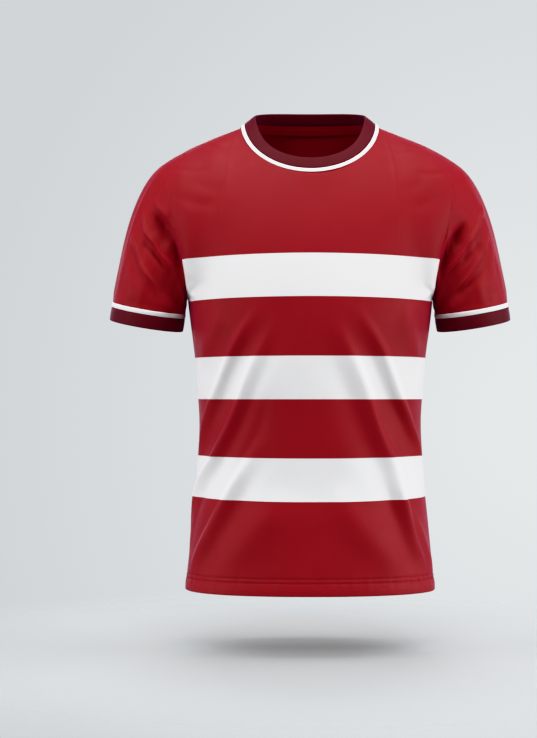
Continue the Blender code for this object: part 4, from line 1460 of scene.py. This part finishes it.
def floor_material(stage):
    """A matt floor that fades into the backdrop away from the jersey."""
    finish = Finish("floor")
    away = finish.add("ShaderNodeVectorMath", {"operation": "LENGTH"}, {0: finish.place()}, output="Value")
    fade = finish.add(
        "ShaderNodeMapRange",
        {"interpolation_type": "SMOOTHSTEP"},
        {"Value": away, "From Min": FLOOR_FADE[0], "From Max": FLOOR_FADE[1], "To Min": 1.0, "To Max": 0.0},
    )
    grain = finish.drift(scale=400.0, detail=2.0, roughness=0.5)
    base = finish.blend(grain, colour(stage.floor, 1 - FLOOR_GRAIN), colour(stage.floor, 1 + FLOOR_GRAIN))
    finish.set(Base_Color=base, Roughness=0.9, Specular_IOR_Level=0.1, Alpha=fade)
    return finish.material


class JERSEY_OT_stage(bpy.types.Operator):
    """Floor, backdrop, lamps and camera"""

    bl_idname = "jersey.stage"
    bl_label = "Studio"

    def execute(self, context):
        stage = context.scene.jersey_stage
        mesh = bpy.data.meshes.new("floor")
        half = FLOOR_SIZE / 2
        corners = [(-half, -half, 0), (half, -half, 0), (half, half, 0), (-half, half, 0)]
        mesh.from_pydata(corners, [], [(0, 1, 2, 3)])
        mesh.materials.append(floor_material(stage))
        floor = bpy.data.objects.new("floor", mesh)
        floor.location.z = stage.floor_height
        context.scene.collection.objects.link(floor)
        add_world(stage)
        for lamp in LAMPS:
            add_lamp(lamp, floor)
        add_camera()
        context.scene.view_settings.view_transform = "Khronos PBR Neutral"
        return {"FINISHED"}


OPERATORS = (
    JERSEY_OT_stage,
    JERSEY_OT_body,
    JERSEY_OT_hem_stitches,
    JERSEY_OT_sleeves,
    JERSEY_OT_collar,
    JERSEY_OT_neck_tape,
    JERSEY_OT_sleeve_ends,
)


class JERSEY_PT_panel(bpy.types.Panel):
    bl_idname = "JERSEY_PT_panel"
    bl_label = "Football Jersey"
    bl_space_type = "VIEW_3D"
    bl_region_type = "UI"
    bl_category = "Jersey"

    def draw(self, context):
        for group in (context.scene.jersey_finish, context.scene.jersey_stage):
            box = self.layout.box()
            for name in group.__annotations__:
                box.prop(group, name)
        for operator in OPERATORS:
            self.layout.operator(operator.bl_idname)


CLASSES = (JERSEY_PG_finish, JERSEY_PG_stage, *OPERATORS, JERSEY_PT_panel)


def register():
    for made in CLASSES:
        bpy.utils.register_class(made)
    bpy.types.Scene.jersey_finish = PointerProperty(type=JERSEY_PG_finish)
    bpy.types.Scene.jersey_stage = PointerProperty(type=JERSEY_PG_stage)


def unregister():
    del bpy.types.Scene.jersey_stage
    del bpy.types.Scene.jersey_finish
    for made in reversed(CLASSES):
        bpy.utils.unregister_class(made)


def main():
    register()
    bpy.ops.jersey.stage()
    bpy.ops.jersey.body()
    bpy.ops.jersey.hem_stitches()
    bpy.ops.jersey.sleeves()
    bpy.ops.jersey.collar()
    bpy.ops.jersey.neck_tape()
    bpy.ops.jersey.sleeve_ends()


if __name__ == "__main__":
    main()
